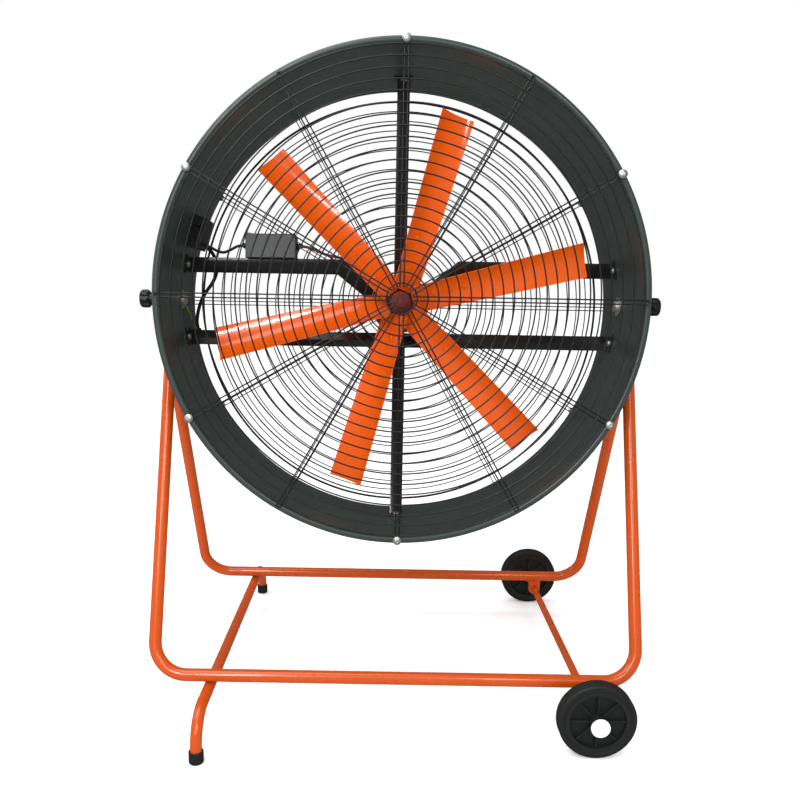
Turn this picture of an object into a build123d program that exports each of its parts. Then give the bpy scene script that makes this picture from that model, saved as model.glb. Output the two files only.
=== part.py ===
from build123d import *
import math
import os

# Drum fan on a wheeled stand of bent steel tube. Millimetres and degrees.
# The stand stands on the plane Z = 0, +Z is up and the air is blown towards -Y.
# The drum has a frame of its own: its origin is the pivot, its +Y runs along the
# drum's axis towards the rear guard, and angles go clockwise from the top, seen
# from the front.

# --- stand, driving dimensions ---
tube_diameter = 25.4
tube_wall = 1.8
frame_bend_radius = 66.0
pivot_height = 840.0
bar_setback = 287.0            # bar centre from the pivot, along Y
leg_side_gap = 17.0            # front leg's centre outside the drum's inner wall, at the pivot
front_leg_splay = 8.0          # how far a leg leans outwards from its bar to the pivot
rear_leg_splay = 19.0
leg_spacer = 1.6               # washer between the crossed legs
leg_overrun = 20.0             # leg length past the pivot hole
plug_head = 3.0
plug_shank = 12.0
plug_edge = 1.8                # rounding of a plug's rim

rail_diameter = 22.2
rail_wall = 1.6
rail_position = -371.0         # X of the foot rail
rail_foot_reach = 412.0        # Y of the vertical feet
rail_height = 86.7
rail_bend_radius = 62.0
foot_cap_diameter = 28.0
foot_cap_height = 24.0
foot_cap_floor = 4.0
foot_cap_edge = 3.2            # rounding at the floor
foot_cap_lip = 1.2             # rounding at the open end

axle_diameter = 16.0
axle_position = 384.0          # X of the axle
bracket_thickness = 5.0
bracket_width = 30.0
front_wheel_reach = 366.0      # wheel's middle plane from the pivot, along Y
rear_wheel_reach = 386.0

# --- wheels ---
wheel_diameter = 150.0
tread_width = 30.0
tyre_depth = 13.0
tyre_shoulder = 3.5
tyre_seat_depth = 8.0          # square part of the tyre on the rim
wheel_hub_diameter = 30.0
hub_nose = 16.0                # hub length past the wheel's outer face
hub_tail = 2.0                 # hub length past the wheel's inner face
web_thickness = 6.0
wheel_rim_wall = 8.0
wheel_rim_inset = 1.0          # rim edge inside the tread's edge, on each side
wheel_rib_count = 8
wheel_rib_thickness = 4.0
wheel_rib_recess = 4.0         # rib edge below the wheel's face
push_cap_diameter = 36.0
push_cap_thickness = 5.0
push_cap_skin = 2.0
push_cap_edge = 1.8
collar_diameter = 26.0
collar_thickness = 3.0

# --- pivot ---
pivot_bolt_diameter = 12.0
pivot_head_diameter = 26.0
pivot_head_height = 8.0
pivot_head_edge = 5.6
pivot_washer_diameter = 40.0
pivot_washer_thickness = 3.0
pivot_pad_diameter = 50.0
knob_diameter = 40.0
knob_lobe_diameter = 12.0
knob_lobe_count = 7
knob_valley_radius = 16.4      # grip radius between the lobes
knob_edge = 4.0
knob_length = 20.0
knob_neck_diameter = 25.0
knob_neck_length = 8.0
knob_bolt_depth = 22.0         # bolt length inside the knob
knob_washer_diameter = 32.0
knob_washer_thickness = 2.0

# --- drum ---
rest_tilt = 4.55               # front of the drum faces up
drum_inner_radius = 473.0
drum_wall = 1.5
drum_front = -177.0            # front end of the rolled edge, along the drum's axis
drum_rear = 129.0
front_roll_radius = 7.75
rear_roll_radius = 5.0
roll_slit = 40.0               # angle left open in a rolled edge
front_slit_start = 100.0
rear_slit_start = 220.0

# --- guards ---
guard_arm_count = 12
front_wire = 3.0
front_ring_pitch = 21.0
front_ring_first = 30.0
rear_wire = 2.5
rear_ring_pitch = 21.0
rear_ring_first = 35.0
rear_rim_wire = 5.0
spoke_gap = 8.0                # between the two wires of a hairpin
spoke_inner_reach = 22.0
guard_screw_diameter = 4.8
guard_screw_head = 17.0
guard_screw_head_height = 6.0
guard_screw_edge = 3.6
guard_screw_offset = 0.5       # outside the middle of the rolled edge

# --- motor ---
motor_radius = 62.0
motor_wall = 3.0
motor_front = 6.0              # front face of the front bell
motor_rear = 125.0
bell_depth = 12.0
bell_edge = 5.4
band_thickness = 2.0
band_front = 26.0
band_width = 28.0
band_lug_angle = 35.0          # below level, on the right
band_lug_length = 16.0
band_lug_sheet = 3.0
band_split = 4.0               # between the two lugs
shaft_diameter = 16.9
bearing_outer = 40.0
bearing_bore = 17.0
bearing_width = 12.0
bearing_cover = 4.0            # bell metal outside the bearing
bearing_seat_wall = 5.0
shaft_clearance = 1.0          # between the shaft and the front bell
shaft_chamfer = 1.0
stator_front = 34.0
stator_rear = 98.0
stator_bore = 72.0
stator_slot_count = 24
stator_slot_depth = 10.0
stator_slot_width = 4.0
rotor_air_gap = 0.5

# --- struts ---
strut_front = 34.0             # front face, along the drum's axis
strut_depth = 18.0
strut_height = 32.0
strut_upright = 15.0           # height of the upright face
strut_slant_run = 10.0
strut_sheet = 3.0
upper_strut_level = 78.0
strut_knee = 133.0             # where an upper strut turns down to the motor
strut_arm_angle = 38.2
strut_arm_end = 35.2           # X where an arm's middle line stops, inside the motor band
vertical_strut_width = 27.0
vertical_strut_depth = 15.0
strut_foot_front = 10.0
strut_foot_length = 44.0
strut_foot_height = 40.0
strut_bolt_diameter = 8.0
strut_bolt_head = 14.0
strut_bolt_head_height = 5.0
strut_bolt_edge = 3.0
strut_nut_height = 4.0
strut_bolt_tail = 5.5
strut_bolt_setback = 21.0      # bolt position along the drum's axis

# --- rotor ---
blade_count = 6
blade_first_angle = 16.24
blade_plane = -32.0
blade_root = 26.0
blade_tip_gap = 73.0           # between a blade's end and the wall
blade_chord = 75.0
blade_camber = 9.0
blade_sheet = 1.5
root_pitch = 47.3
tip_pitch = 22.0
arm_width = 30.0
arm_sheet = 3.0
arm_reach = 150.0
boss_radius = 22.0
boss_front = -60.0
boss_rear = -6.0
boss_edge = 4.0
arm_overlap = 6.0              # arm inside the boss
rivet_gap = 0.1                # between a blade and its arm
nut_across_flats = 24.0
nut_height = 11.0
hub_washer_diameter = 34.0
hub_washer_thickness = 2.0
shaft_stub = 2.0               # shaft end past the nut
rivet_diameter = 5.0
rivet_head = 10.0
rivet_head_height = 2.0
rivet_edge = 1.2
rivet_radii = (76.0, 108.0, 140.0)

# --- electrics ---
box_inset = 136.0              # box's left end from the wall
box_length = 109.0
box_front = 12.0
box_depth = 50.0
box_height = 46.0
box_wall = 2.5
box_cover = 4.0
box_corner = 3.0
cover_chamfer = 1.6
box_screw_diameter = 4.0
box_screw_head = 8.0
box_screw_head_height = 2.4
box_screw_length = 11.0
box_screw_hole = 12.0          # depth in a post
box_screw_inset = 7.0
capacitor_diameter = 34.0
capacitor_length = 70.0
switch_angle = -72.0           # place of the switch housing on the wall
switch_width = 66.0
switch_front = -25.0
switch_depth = 60.0
switch_reach = 33.0            # radial height of the housing
switch_corner = 3.0
switch_overlap = 10.0          # housing drawn past the wall before it is cut to it
rocker_length = 22.0
rocker_width = 14.0
rocker_depth = 10.0
rocker_throw = 8.0             # each way from the level position
rocker_pin = 3.0
rocker_pin_length = 20.0
rocker_pin_setback = 4.5       # pin behind the housing's front face
rocker_proud = 2.5             # rocker's middle in front of its pin
rocker_edge = 1.5
rocker_gap = 1.0
rocker_pocket = 16.0
gland_diameter = 20.0
gland_length = 25.0
gland_reach = 14.5             # stem past the wall's inner face
gland_nut_diameter = 26.0
gland_nut_height = 3.0
gland_nut_gap = 1.1
gland_collar_diameter = 14.0
gland_angle = -100.0
gland_setback = 85.0
elbow_width = 26.0
elbow_height = 20.0
elbow_axis = 12.0              # the elbow's outlet below the wall
elbow_collar = 8.0
elbow_gap = 1.2                # between the elbow and the wall
elbow_edge = 4.0
motor_gland_angle = -40.0
motor_gland_setback = 68.0
box_gland_diameter = 12.0
box_gland_length = 8.0
box_gland_flange = 15.0
box_gland_flange_height = 3.0
box_gland_level = 26.0         # above the box's underside
supply_cable_diameter = 8.0
box_cable_diameter = 6.0
earth_lead_diameter = 3.0
lead_insert = 2.0              # lead inside a gland
lead_bend_share = 0.45         # share of the shorter run that a bend takes up

# --- leads, points in the drum's frame that each is held at ---
supply_first_run = (-3.9, 0.0, 22.0)
supply_route = (               # first value is the distance from the left wall's level point
    (16.0, 85.0, -22.0),
    (23.0, 84.0, 1.0),
    (35.0, 83.0, 22.0),
    (50.0, 82.0, 41.0),
    (60.0, 82.0, 63.0),
    (60.0, 82.0, 87.0),
    (52.0, 77.0, 108.0),
    (41.0, 62.0, 120.0),
)
supply_end_inset = 36.0
supply_end_level = 122.0
supply_last_run = 14.0
switch_route = (               # from the box's left end, at its gland
    (-20.0, 0.0, 0.0),
    (-35.0, -4.0, -10.0),
    (-49.0, -11.0, -17.0),
    (-61.0, -21.0, -15.0),
)
switch_entry = -20.0           # across the housing from its middle
switch_last_run = 17.0
motor_route = (                # from the box's right end, at its gland
    (22.0, 0.0, 0.0),
    (44.0, -1.0, -8.0),
    (65.0, 0.0, -17.0),
    (87.0, 2.0, -21.0),
    (108.0, 7.0, -24.0),
    (128.0, 17.0, -30.0),
)
motor_approach = (-19.0, -6.0, 11.0)
motor_last_run = 28.0
motor_entry = 4.0              # lead's end above the motor shell
earth_route = (                # distance from the left wall, Y, and share of the way down to the inlet
    (8.0, 10.0, 0.170),
    (11.0, 26.0, 0.329),
    (12.0, 46.0, 0.487),
    (14.0, 62.0, 0.682),
    (17.0, 74.0, 0.803),
)

# --- clearances ---
seat_gap = 0.02                # pieces of one body that are pressed or welded together
running_gap = 0.1              # radial, a bore on a bolt or rod that turns in it
bearing_gap = 0.05
body_gap = 0.3                 # faces of bodies that move past each other
hole_cutter = 12.0             # length of the cylinder that cuts a hole in sheet

# --- worked out from the dimensions above ---
tube_radius = tube_diameter / 2
rail_radius = rail_diameter / 2
axle_radius = axle_diameter / 2
wheel_radius = wheel_diameter / 2
axle_height = wheel_radius
bar_height = rail_height + rail_radius + tube_radius
leg_rise = pivot_height - bar_height
leg_slope = math.hypot(bar_setback, leg_rise)
front_leg_half_gap = drum_inner_radius + leg_side_gap
rear_leg_half_gap = front_leg_half_gap + tube_diameter + leg_spacer
front_bar_half_gap = front_leg_half_gap - front_leg_splay
rear_bar_half_gap = rear_leg_half_gap - rear_leg_splay
knob_washer_face = rear_leg_half_gap + tube_radius
knob_start = knob_washer_face + knob_washer_thickness + body_gap
drum_outer_radius = drum_inner_radius + drum_wall
front_spoke_plane = drum_front - front_wire / 2 - seat_gap
front_ring_plane = front_spoke_plane - front_wire - seat_gap
rear_spoke_plane = drum_rear + rear_wire / 2 + seat_gap
front_screw_face = front_spoke_plane - front_wire / 2 - seat_gap
rear_screw_face = rear_spoke_plane + rear_wire / 2 + seat_gap
rear_ring_plane = rear_spoke_plane + rear_wire + seat_gap
rear_rim_plane = rear_spoke_plane + (rear_wire + rear_rim_wire) / 2 + seat_gap
front_roll_middle = drum_inner_radius + front_roll_radius
rear_roll_middle = drum_inner_radius + rear_roll_radius
front_screw_circle = front_roll_middle + guard_screw_offset
rear_screw_circle = rear_roll_middle + guard_screw_offset
front_ring_count = 1 + int((drum_inner_radius - front_ring_first) // front_ring_pitch)
rear_ring_count = int((drum_inner_radius - rear_ring_first) // rear_ring_pitch)
blade_tip = drum_inner_radius - blade_tip_gap
box_left = box_inset - drum_inner_radius
box_right = box_left + box_length
band_radius = motor_radius + band_thickness
lower_strut_level = -(band_radius + seat_gap + strut_height / 2)
strut_foot_radius = drum_inner_radius - seat_gap
motor_slope = math.tan(math.radians(strut_arm_angle))
upper_strut_top = upper_strut_level + strut_height / 2
shaft_front = boss_front - hub_washer_thickness - nut_height - shaft_stub


def in_drum(shape):
    """A shape from the drum's own frame, placed on the stand at the rest tilt."""
    return Pos(0, 0, pivot_height) * Rot(-rest_tilt, 0, 0) * shape


def barrel(outer, inner, start, end):
    """A cylinder or a ring about the drum's axis."""
    middle = (start + end) / 2
    turned = Pos(0, middle, 0) * Rot(90, 0, 0)
    solid = turned * Cylinder(outer, end - start)
    if inner > 0:
        solid -= turned * Cylinder(inner, (end - start) + 2)
    return solid


def across(radius, start, end, y=0.0, z=0.0):
    """A cylinder along X."""
    return Pos((start + end) / 2, y, z) * Rot(0, 90, 0) * Cylinder(radius, abs(end - start))


def along(radius, start, end, x, z):
    """A cylinder along Y."""
    return Pos(x, (start + end) / 2, z) * Rot(90, 0, 0) * Cylinder(radius, abs(end - start))


def both_sides(shape):
    """A shape on the right and its mirror image on the left."""
    return [shape, mirror(shape, about=Plane.YZ)]


# --- stand ---

def leg_frame(side, bar_half, leg_half):
    """A U of bent tube in the sloping plane through its bar and the pivot; side is -1 in front."""
    slope = Plane(
        origin=(0, side * bar_setback, bar_height),
        x_dir=(1, 0, 0),
        z_dir=(0, -leg_rise, -side * bar_setback),
    )
    spread = (leg_half - bar_half) / leg_slope
    top = leg_slope + leg_overrun
    half_top = bar_half + spread * top
    corners = [(-half_top, top), (-bar_half, 0), (bar_half, 0), (half_top, top)]
    points = [slope.from_local_coords(Vector(x, y, 0)) for x, y in corners]
    path = FilletPolyline(*points, radius=frame_bend_radius)
    section = Plane(origin=path @ 0, z_dir=path % 0) * Circle(tube_radius)
    hollow = Plane(origin=path @ 0, z_dir=path % 0) * Circle(tube_radius - tube_wall)
    tube = sweep(section, path=path) - sweep(hollow, path=path)
    reach = leg_half + tube_diameter
    tube -= across(pivot_bolt_diameter / 2 + running_gap, -reach, reach, 0, pivot_height)
    return tube


def leg_ends(side, bar_half, leg_half):
    """The plugs in the two leg tops of one frame."""
    spread = (leg_half - bar_half) / leg_slope
    direction = Vector(spread, -side * bar_setback / leg_slope, leg_rise / leg_slope).normalized()
    foot = Vector(bar_half, side * bar_setback, bar_height)
    length = math.hypot(leg_slope + leg_overrun, spread * (leg_slope + leg_overrun))
    top = Plane(origin=foot + direction * length, z_dir=direction)
    head = Pos(0, 0, plug_head / 2 + seat_gap) * Cylinder(tube_radius, plug_head)
    head = fillet(head.edges().group_by(Axis.Z)[-1], plug_edge)
    shank_radius = tube_radius - tube_wall - seat_gap
    shank_start = plug_head / 2
    shank = Pos(0, 0, (shank_start - plug_shank) / 2) * Cylinder(shank_radius, plug_shank + shank_start)
    plug = top * (head + shank)
    plug -= across(pivot_bolt_diameter, 0, leg_half * 2, 0, pivot_height)
    return both_sides(plug)


def foot_rail():
    """The tube under both bars, its ends turned down into the foot caps."""
    foot = foot_cap_floor + seat_gap
    corners = [
        (rail_position, -rail_foot_reach, foot),
        (rail_position, -rail_foot_reach, rail_height),
        (rail_position, rail_foot_reach, rail_height),
        (rail_position, rail_foot_reach, foot),
    ]
    path = FilletPolyline(*corners, radius=rail_bend_radius)
    start = Plane(origin=path @ 0, z_dir=path % 0)
    hollow = sweep(start * Circle(rail_radius - rail_wall), path=path)
    return sweep(start * Circle(rail_radius), path=path) - hollow


def foot_cap(side):
    """A rubber cap with a rounded bottom edge and a flat face on the floor."""
    cap = Pos(0, 0, foot_cap_height / 2) * Cylinder(foot_cap_diameter / 2, foot_cap_height)
    cap = fillet(cap.edges().group_by(Axis.Z)[0], foot_cap_edge)
    cap = fillet(cap.edges().group_by(Axis.Z)[-1], foot_cap_lip)
    bore_height = foot_cap_height - foot_cap_floor + 1
    cap -= Pos(0, 0, foot_cap_floor + bore_height / 2) * Cylinder(rail_radius + seat_gap, bore_height)
    return Pos(rail_position, side * rail_foot_reach, 0) * cap


def axle_bracket(side):
    """A plate with a hole for the axle, welded under the bar."""
    y = side * bar_setback
    half = bracket_width / 2
    eye = along(half, y - bracket_thickness / 2, y + bracket_thickness / 2, axle_position, axle_height)
    rise = bar_height - axle_height
    plate = Pos(axle_position, y, axle_height + rise / 2) * Box(bracket_width, bracket_thickness, rise)
    ends = (axle_position - bracket_width, axle_position + bracket_width)
    bar = across(tube_radius + seat_gap, ends[0], ends[1], y, bar_height)
    faces = (y - bracket_thickness, y + bracket_thickness)
    hole = along(axle_radius + seat_gap, faces[0], faces[1], axle_position, axle_height)
    return eye + plate - bar - hole


def wheel_faces(side):
    """The wheel's middle, nose end, tail end, collar end and push-cap end, along Y."""
    middle = side * (front_wheel_reach if side < 0 else rear_wheel_reach)
    nose = middle + side * (tread_width / 2 + hub_nose)
    tail = middle - side * (tread_width / 2 + hub_tail)
    collar = tail - side * body_gap
    cap = nose + side * body_gap
    return middle, nose, tail, collar, cap


def axle_rod():
    """The fixed rod, from one push cap to the other."""
    ends = [wheel_faces(side)[4] + side * (push_cap_thickness - push_cap_skin) for side in (-1, 1)]
    return along(axle_radius, ends[0], ends[1], axle_position, axle_height)


def axle_collar(side):
    collar = wheel_faces(side)[3]
    end = collar - side * collar_thickness
    ring = along(collar_diameter / 2, collar, end, axle_position, axle_height)
    return ring - along(axle_radius + seat_gap, collar + side, end - side, axle_position, axle_height)


def push_cap(side):
    cap = wheel_faces(side)[4]
    end = cap + side * push_cap_thickness
    disc = along(push_cap_diameter / 2, cap, end, axle_position, axle_height)
    outer_edge = disc.edges().group_by(Axis.Y)[0 if side < 0 else -1]
    disc = fillet(outer_edge, push_cap_edge)
    bore_end = end - side * (push_cap_skin - seat_gap)
    return disc - along(axle_radius + seat_gap, cap - side, bore_end, axle_position, axle_height)


# --- wheels ---

def wheel_centre(side):
    """Hub, web, ribs and rim of a wheel, in one moulding."""
    middle, nose, tail, _, _ = wheel_faces(side)
    outer = wheel_radius - tyre_depth
    inner = outer - wheel_rim_wall
    half = tread_width / 2 - wheel_rim_inset
    hub_radius = wheel_hub_diameter / 2

    def ring(radius, start, end):
        return along(radius, start, end, axle_position, axle_height)

    rim = ring(outer, middle - half, middle + half) - ring(inner, middle - half - 1, middle + half + 1)
    web = ring(inner + 1, middle - web_thickness / 2, middle + web_thickness / 2)
    hub = ring(hub_radius, nose, tail)
    rib_width = 2 * (half - wheel_rib_recess)
    span = inner - hub_radius + 2
    rib_shape = Pos(0, 0, hub_radius - 1 + span / 2) * Box(wheel_rib_thickness, rib_width, span)
    body = rim + web + hub
    for index in range(wheel_rib_count):
        turn = Rot(0, 360 / wheel_rib_count * index, 0)
        body += Pos(axle_position, middle, axle_height) * turn * rib_shape
    bore = ring(axle_radius + running_gap, nose + side, tail - side)
    return body - bore


def tyre(side):
    """The rubber tread ring, with rounded shoulders."""
    middle = wheel_faces(side)[0]
    inner = wheel_radius - tyre_depth + seat_gap
    outline = RectangleRounded(wheel_radius - inner, tread_width, tyre_shoulder)
    profile = Pos((inner + wheel_radius) / 2, 0) * outline
    seat_width = tread_width - 2 * wheel_rim_inset
    profile += Pos(inner + tyre_seat_depth / 2, 0) * Rectangle(tyre_seat_depth, seat_width)
    ring = revolve(profile, axis=Axis.Y)
    return Pos(axle_position, middle, axle_height) * ring


# --- pivot ---

def pivot_washers(frames):
    """Spacers between the legs, and washers under the knobs, shaped to the tubes they lie on."""
    bore = pivot_bolt_diameter / 2 + running_gap
    radius = knob_washer_diameter / 2
    spacer_start = front_leg_half_gap + tube_radius
    spacer_end = spacer_start + leg_spacer
    spacer = across(tube_radius, spacer_start + seat_gap, spacer_end - seat_gap, 0, pivot_height)
    washer_end = knob_washer_face + knob_washer_thickness
    washer = across(radius, knob_washer_face + seat_gap, washer_end, 0, pivot_height)
    hole = across(bore, spacer_start - 1, washer_end + 1, 0, pivot_height)
    flat_washers = both_sides(spacer - hole) + both_sides(washer - hole)
    return [washer_shape - frames for washer_shape in flat_washers]


def pivot_bolt():
    """A domed head and a washer inside the drum, and a shank that ends in the knob."""
    wall_at_washer = math.sqrt(drum_inner_radius ** 2 - (pivot_washer_diameter / 2) ** 2)
    washer_outer = wall_at_washer - seat_gap
    washer_inner = washer_outer - pivot_washer_thickness
    head_inner = washer_inner - pivot_head_height
    head = across(pivot_head_diameter / 2, head_inner, washer_inner)
    head = fillet(head.edges().group_by(Axis.X)[0], pivot_head_edge)
    washer = across(pivot_washer_diameter / 2, washer_inner, washer_outer)
    shank_end = knob_start + knob_bolt_depth
    shank = across(pivot_bolt_diameter / 2, washer_inner, shank_end)
    return head + washer + shank


def pivot_pad():
    """A round plate on the outside of the drum, curved to the wall."""
    outer = front_leg_half_gap - tube_radius - 2 * body_gap
    pad = across(pivot_pad_diameter / 2, drum_inner_radius - 5, outer)
    pad -= barrel(drum_outer_radius + seat_gap, 0, -pivot_pad_diameter, pivot_pad_diameter)
    return pad - across(pivot_bolt_diameter / 2 + seat_gap, drum_inner_radius - 10, outer + 5)


def clamp_knob():
    """A lobed hand knob with a neck, on the end of the pivot bolt."""
    neck_end = knob_start + knob_neck_length
    knob_end = neck_end + knob_length
    lobe_circle = (knob_diameter - knob_lobe_diameter) / 2
    neck = across(knob_neck_diameter / 2, knob_start, neck_end + knob_edge)
    grip = across(knob_valley_radius, neck_end, knob_end)
    lobe = across(knob_lobe_diameter / 2, neck_end, knob_end, 0, lobe_circle)
    for index in range(knob_lobe_count):
        grip += Rot(360 / knob_lobe_count * index, 0, 0) * lobe
    envelope = across(knob_diameter / 2, neck_end, knob_end)
    envelope = chamfer(envelope.edges().filter_by(GeomType.CIRCLE), knob_edge)
    bore_end = knob_start + knob_bolt_depth + body_gap
    bore = across(pivot_bolt_diameter / 2 + bearing_gap, knob_start - 1, bore_end)
    return neck + (grip & envelope) - bore


# --- drum shell ---

def rolled_edge(roll_radius, centre_y, slit_from):
    """The section of a rolled edge: a curl of the wall's sheet, open by the slit angle."""
    centre = (drum_inner_radius + roll_radius, centre_y)
    curl = Pos(*centre) * (Circle(roll_radius) - Circle(roll_radius - drum_wall))
    reach = roll_radius * 2
    sides = [Vector(reach, 0).rotate(Axis.Z, angle) for angle in (slit_from, slit_from + roll_slit)]
    wedge = make_face(Polyline((0, 0, 0), *sides, close=True))
    return curl - Pos(*centre) * wedge


def drum_shell():
    """The wall and its rolled edges, with holes for the bolts and the inlet."""
    front_curl = drum_front + front_roll_radius
    rear_curl = drum_rear - rear_roll_radius
    wall = Pos(drum_inner_radius + drum_wall / 2, (front_curl + rear_curl) / 2) * Rectangle(
        drum_wall, rear_curl - front_curl)
    front_roll = rolled_edge(front_roll_radius, front_curl, front_slit_start)
    rear_roll = rolled_edge(rear_roll_radius, rear_curl, rear_slit_start)
    shell = revolve(wall + front_roll + rear_roll, axis=Axis.Y)
    shell -= across(pivot_bolt_diameter / 2 + seat_gap, -drum_outer_radius - 20, drum_outer_radius + 20)
    for bolt in strut_bolt_places():
        shell -= bolt * Cylinder(strut_bolt_diameter / 2 + seat_gap, hole_cutter)
    shell -= gland_place() * Cylinder(gland_diameter / 2 + seat_gap, hole_cutter)
    return shell


# --- guards ---

def wire_ring(radius, plane, wire):
    return Pos(0, plane, 0) * Rot(90, 0, 0) * Torus(radius, wire / 2)


def hairpin(angle, outer_reach, plane, wire):
    """Two radial wires joined by a half turn at their outer end."""
    half = spoke_gap / 2
    start = math.sqrt(spoke_inner_reach ** 2 - half ** 2)
    path = Line((-half, plane, start), (-half, plane, outer_reach))
    turn = [(-half, plane, outer_reach), (0, plane, outer_reach + half), (half, plane, outer_reach)]
    path += ThreePointArc(*turn)
    path += Line((half, plane, outer_reach), (half, plane, start))
    section = Plane(origin=(-half, plane, start), z_dir=(0, 0, 1)) * Circle(wire / 2)
    return Rot(0, angle, 0) * sweep(section, path=path)


def guard_spokes(screw_circle, roll_middle, plane, wire):
    """Every other hairpin goes round a screw, and the ones between end on the rolled edge."""
    spokes = []
    for index in range(guard_arm_count):
        reach = screw_circle if index % 2 == 0 else roll_middle - spoke_gap / 2
        spokes.append(hairpin(360 * index / guard_arm_count, reach, plane, wire))
    return spokes


def guard_screws(screw_circle, face, end):
    """Pan-head screws whose heads hold the hairpins' outer turns; their shanks end on the rolled edge."""
    direction = 1 if end > face else -1
    head_end = face - direction * guard_screw_head_height
    head = along(guard_screw_head / 2, face, head_end, 0, screw_circle)
    rim = head.edges().group_by(Axis.Y)[0 if direction > 0 else -1]
    shank = along(guard_screw_diameter / 2, head_end + direction, end, 0, screw_circle)
    screw = fillet(rim, guard_screw_edge) + shank
    count = guard_arm_count // 2
    return [Rot(0, 360 * index / count, 0) * screw for index in range(count)]


# --- struts ---

def strut_profile(flip):
    """The folded sheet in section, drawn with X along the drum's axis and Y up."""
    half = strut_height / 2
    low = half - strut_upright
    back = strut_front + strut_depth
    inner = strut_front + strut_sheet
    slant_end = strut_front + strut_slant_run
    slant_drop = strut_height - strut_upright
    slant_wall = strut_sheet * math.hypot(strut_slant_run, slant_drop) / slant_drop
    fold = strut_sheet * math.tan(math.atan2(strut_slant_run, slant_drop) / 2)
    points = [
        (back, half),
        (strut_front, half),
        (strut_front, low),
        (slant_end, -half),
        (slant_end + slant_wall, -half),
        (inner, low + fold),
        (inner, half - strut_sheet),
        (back, half - strut_sheet),
    ]
    return make_face(Polyline(*[(x, flip * y) for x, y in points], close=True))


def strut_foot(angle):
    """The curved plate that an upright strut's end is welded to; the top one, turned into place."""
    middle = strut_foot_front + strut_foot_length / 2
    ring = barrel(strut_foot_radius, strut_foot_radius - strut_sheet, strut_foot_front,
                  strut_foot_front + strut_foot_length)
    plate = ring & (Pos(0, middle, drum_inner_radius) * Box(strut_foot_height, strut_foot_length, 60))
    return Rot(0, angle, 0) * plate


def foot_angle(side, level):
    """Clockwise angle from the top of a point on the wall at this level."""
    return side * math.degrees(math.acos(level / drum_inner_radius))


def strut_foot_places():
    return [
        foot_angle(-1, upper_strut_level),
        foot_angle(1, upper_strut_level),
        foot_angle(-1, lower_strut_level),
        foot_angle(1, lower_strut_level),
        0,
        180,
    ]


def strut_bolt_places():
    """Locations of the bolts through the wall, with Z pointing outwards."""
    return [
        Rot(0, angle, 0) * Pos(0, strut_bolt_setback, drum_inner_radius)
        for angle in strut_foot_places()
    ]


def strut_bolts():
    bolts = []
    seat = -(strut_sheet + seat_gap * 2 + strut_bolt_head ** 2 / 8 / strut_foot_radius)
    for place in strut_bolt_places():
        head = Pos(0, 0, seat - strut_bolt_head_height / 2) * Cylinder(
            strut_bolt_head / 2, strut_bolt_head_height)
        head = fillet(head.edges().group_by(Axis.Z)[0], strut_bolt_edge)
        length = strut_sheet + drum_wall + strut_bolt_tail
        shank = Pos(0, 0, seat + length / 2) * Cylinder(strut_bolt_diameter / 2, length)
        nut = Pos(0, 0, drum_wall + body_gap + strut_nut_height / 2) * extrude(
            RegularPolygon(strut_bolt_head / 2, 6), strut_nut_height / 2, both=True)
        bolts.append(place * (head + shank + nut))
    return bolts


def cut_to_wall(shape):
    return shape & barrel(strut_foot_radius - strut_sheet + seat_gap, 0, drum_front, drum_rear)


def bolt_hole(index):
    return strut_bolt_places()[index] * Cylinder(strut_bolt_diameter / 2 + seat_gap, strut_sheet * 6)


def upper_strut(side):
    """From the wall to the knee, then down to the motor band."""
    start = side * drum_inner_radius
    inward = strut_knee - strut_arm_end
    end = (side * strut_arm_end, 0, upper_strut_level - inward * motor_slope)
    path = Polyline((start, 0, upper_strut_level), (side * strut_knee, 0, upper_strut_level), end)
    plane = Plane(origin=(start, 0, upper_strut_level), x_dir=(0, 1, 0), z_dir=(1, 0, 0))
    bar = sweep(plane * strut_profile(1), path=path, transition=Transition.RIGHT)
    bar = cut_to_wall(bar) - barrel(band_radius + seat_gap, 0, motor_front, motor_rear)
    index = 0 if side < 0 else 1
    return bar + strut_foot(strut_foot_places()[index]) - bolt_hole(index)


def lower_strut():
    """Straight from wall to wall under the motor band."""
    plane = Plane(origin=(0, 0, lower_strut_level), x_dir=(0, 1, 0), z_dir=(1, 0, 0))
    bar = extrude(plane * strut_profile(-1), drum_inner_radius, both=True)
    bar = cut_to_wall(bar)
    bar += strut_foot(strut_foot_places()[2]) + strut_foot(strut_foot_places()[3])
    return bar - bolt_hole(2) - bolt_hole(3)


def vertical_strut(start, end):
    """A channel between two levels, open to the rear."""
    half = vertical_strut_width / 2
    outer = Pos(0, strut_front + vertical_strut_depth / 2, (start + end) / 2) * Box(
        vertical_strut_width, vertical_strut_depth, abs(end - start))
    hollow = Pos(0, strut_front + strut_sheet + vertical_strut_depth / 2, (start + end) / 2) * Box(
        2 * (half - strut_sheet), vertical_strut_depth, abs(end - start) + 2)
    return outer - hollow


def top_strut():
    bar = cut_to_wall(vertical_strut(band_radius - 10, drum_inner_radius))
    bar -= barrel(band_radius + seat_gap, 0, motor_front, motor_rear)
    return bar + strut_foot(0) - bolt_hole(4)


def bottom_strut():
    top = lower_strut_level - strut_height / 2 - seat_gap
    bar = cut_to_wall(vertical_strut(top, -drum_inner_radius))
    return bar + strut_foot(180) - bolt_hole(5)


# --- motor ---

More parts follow.
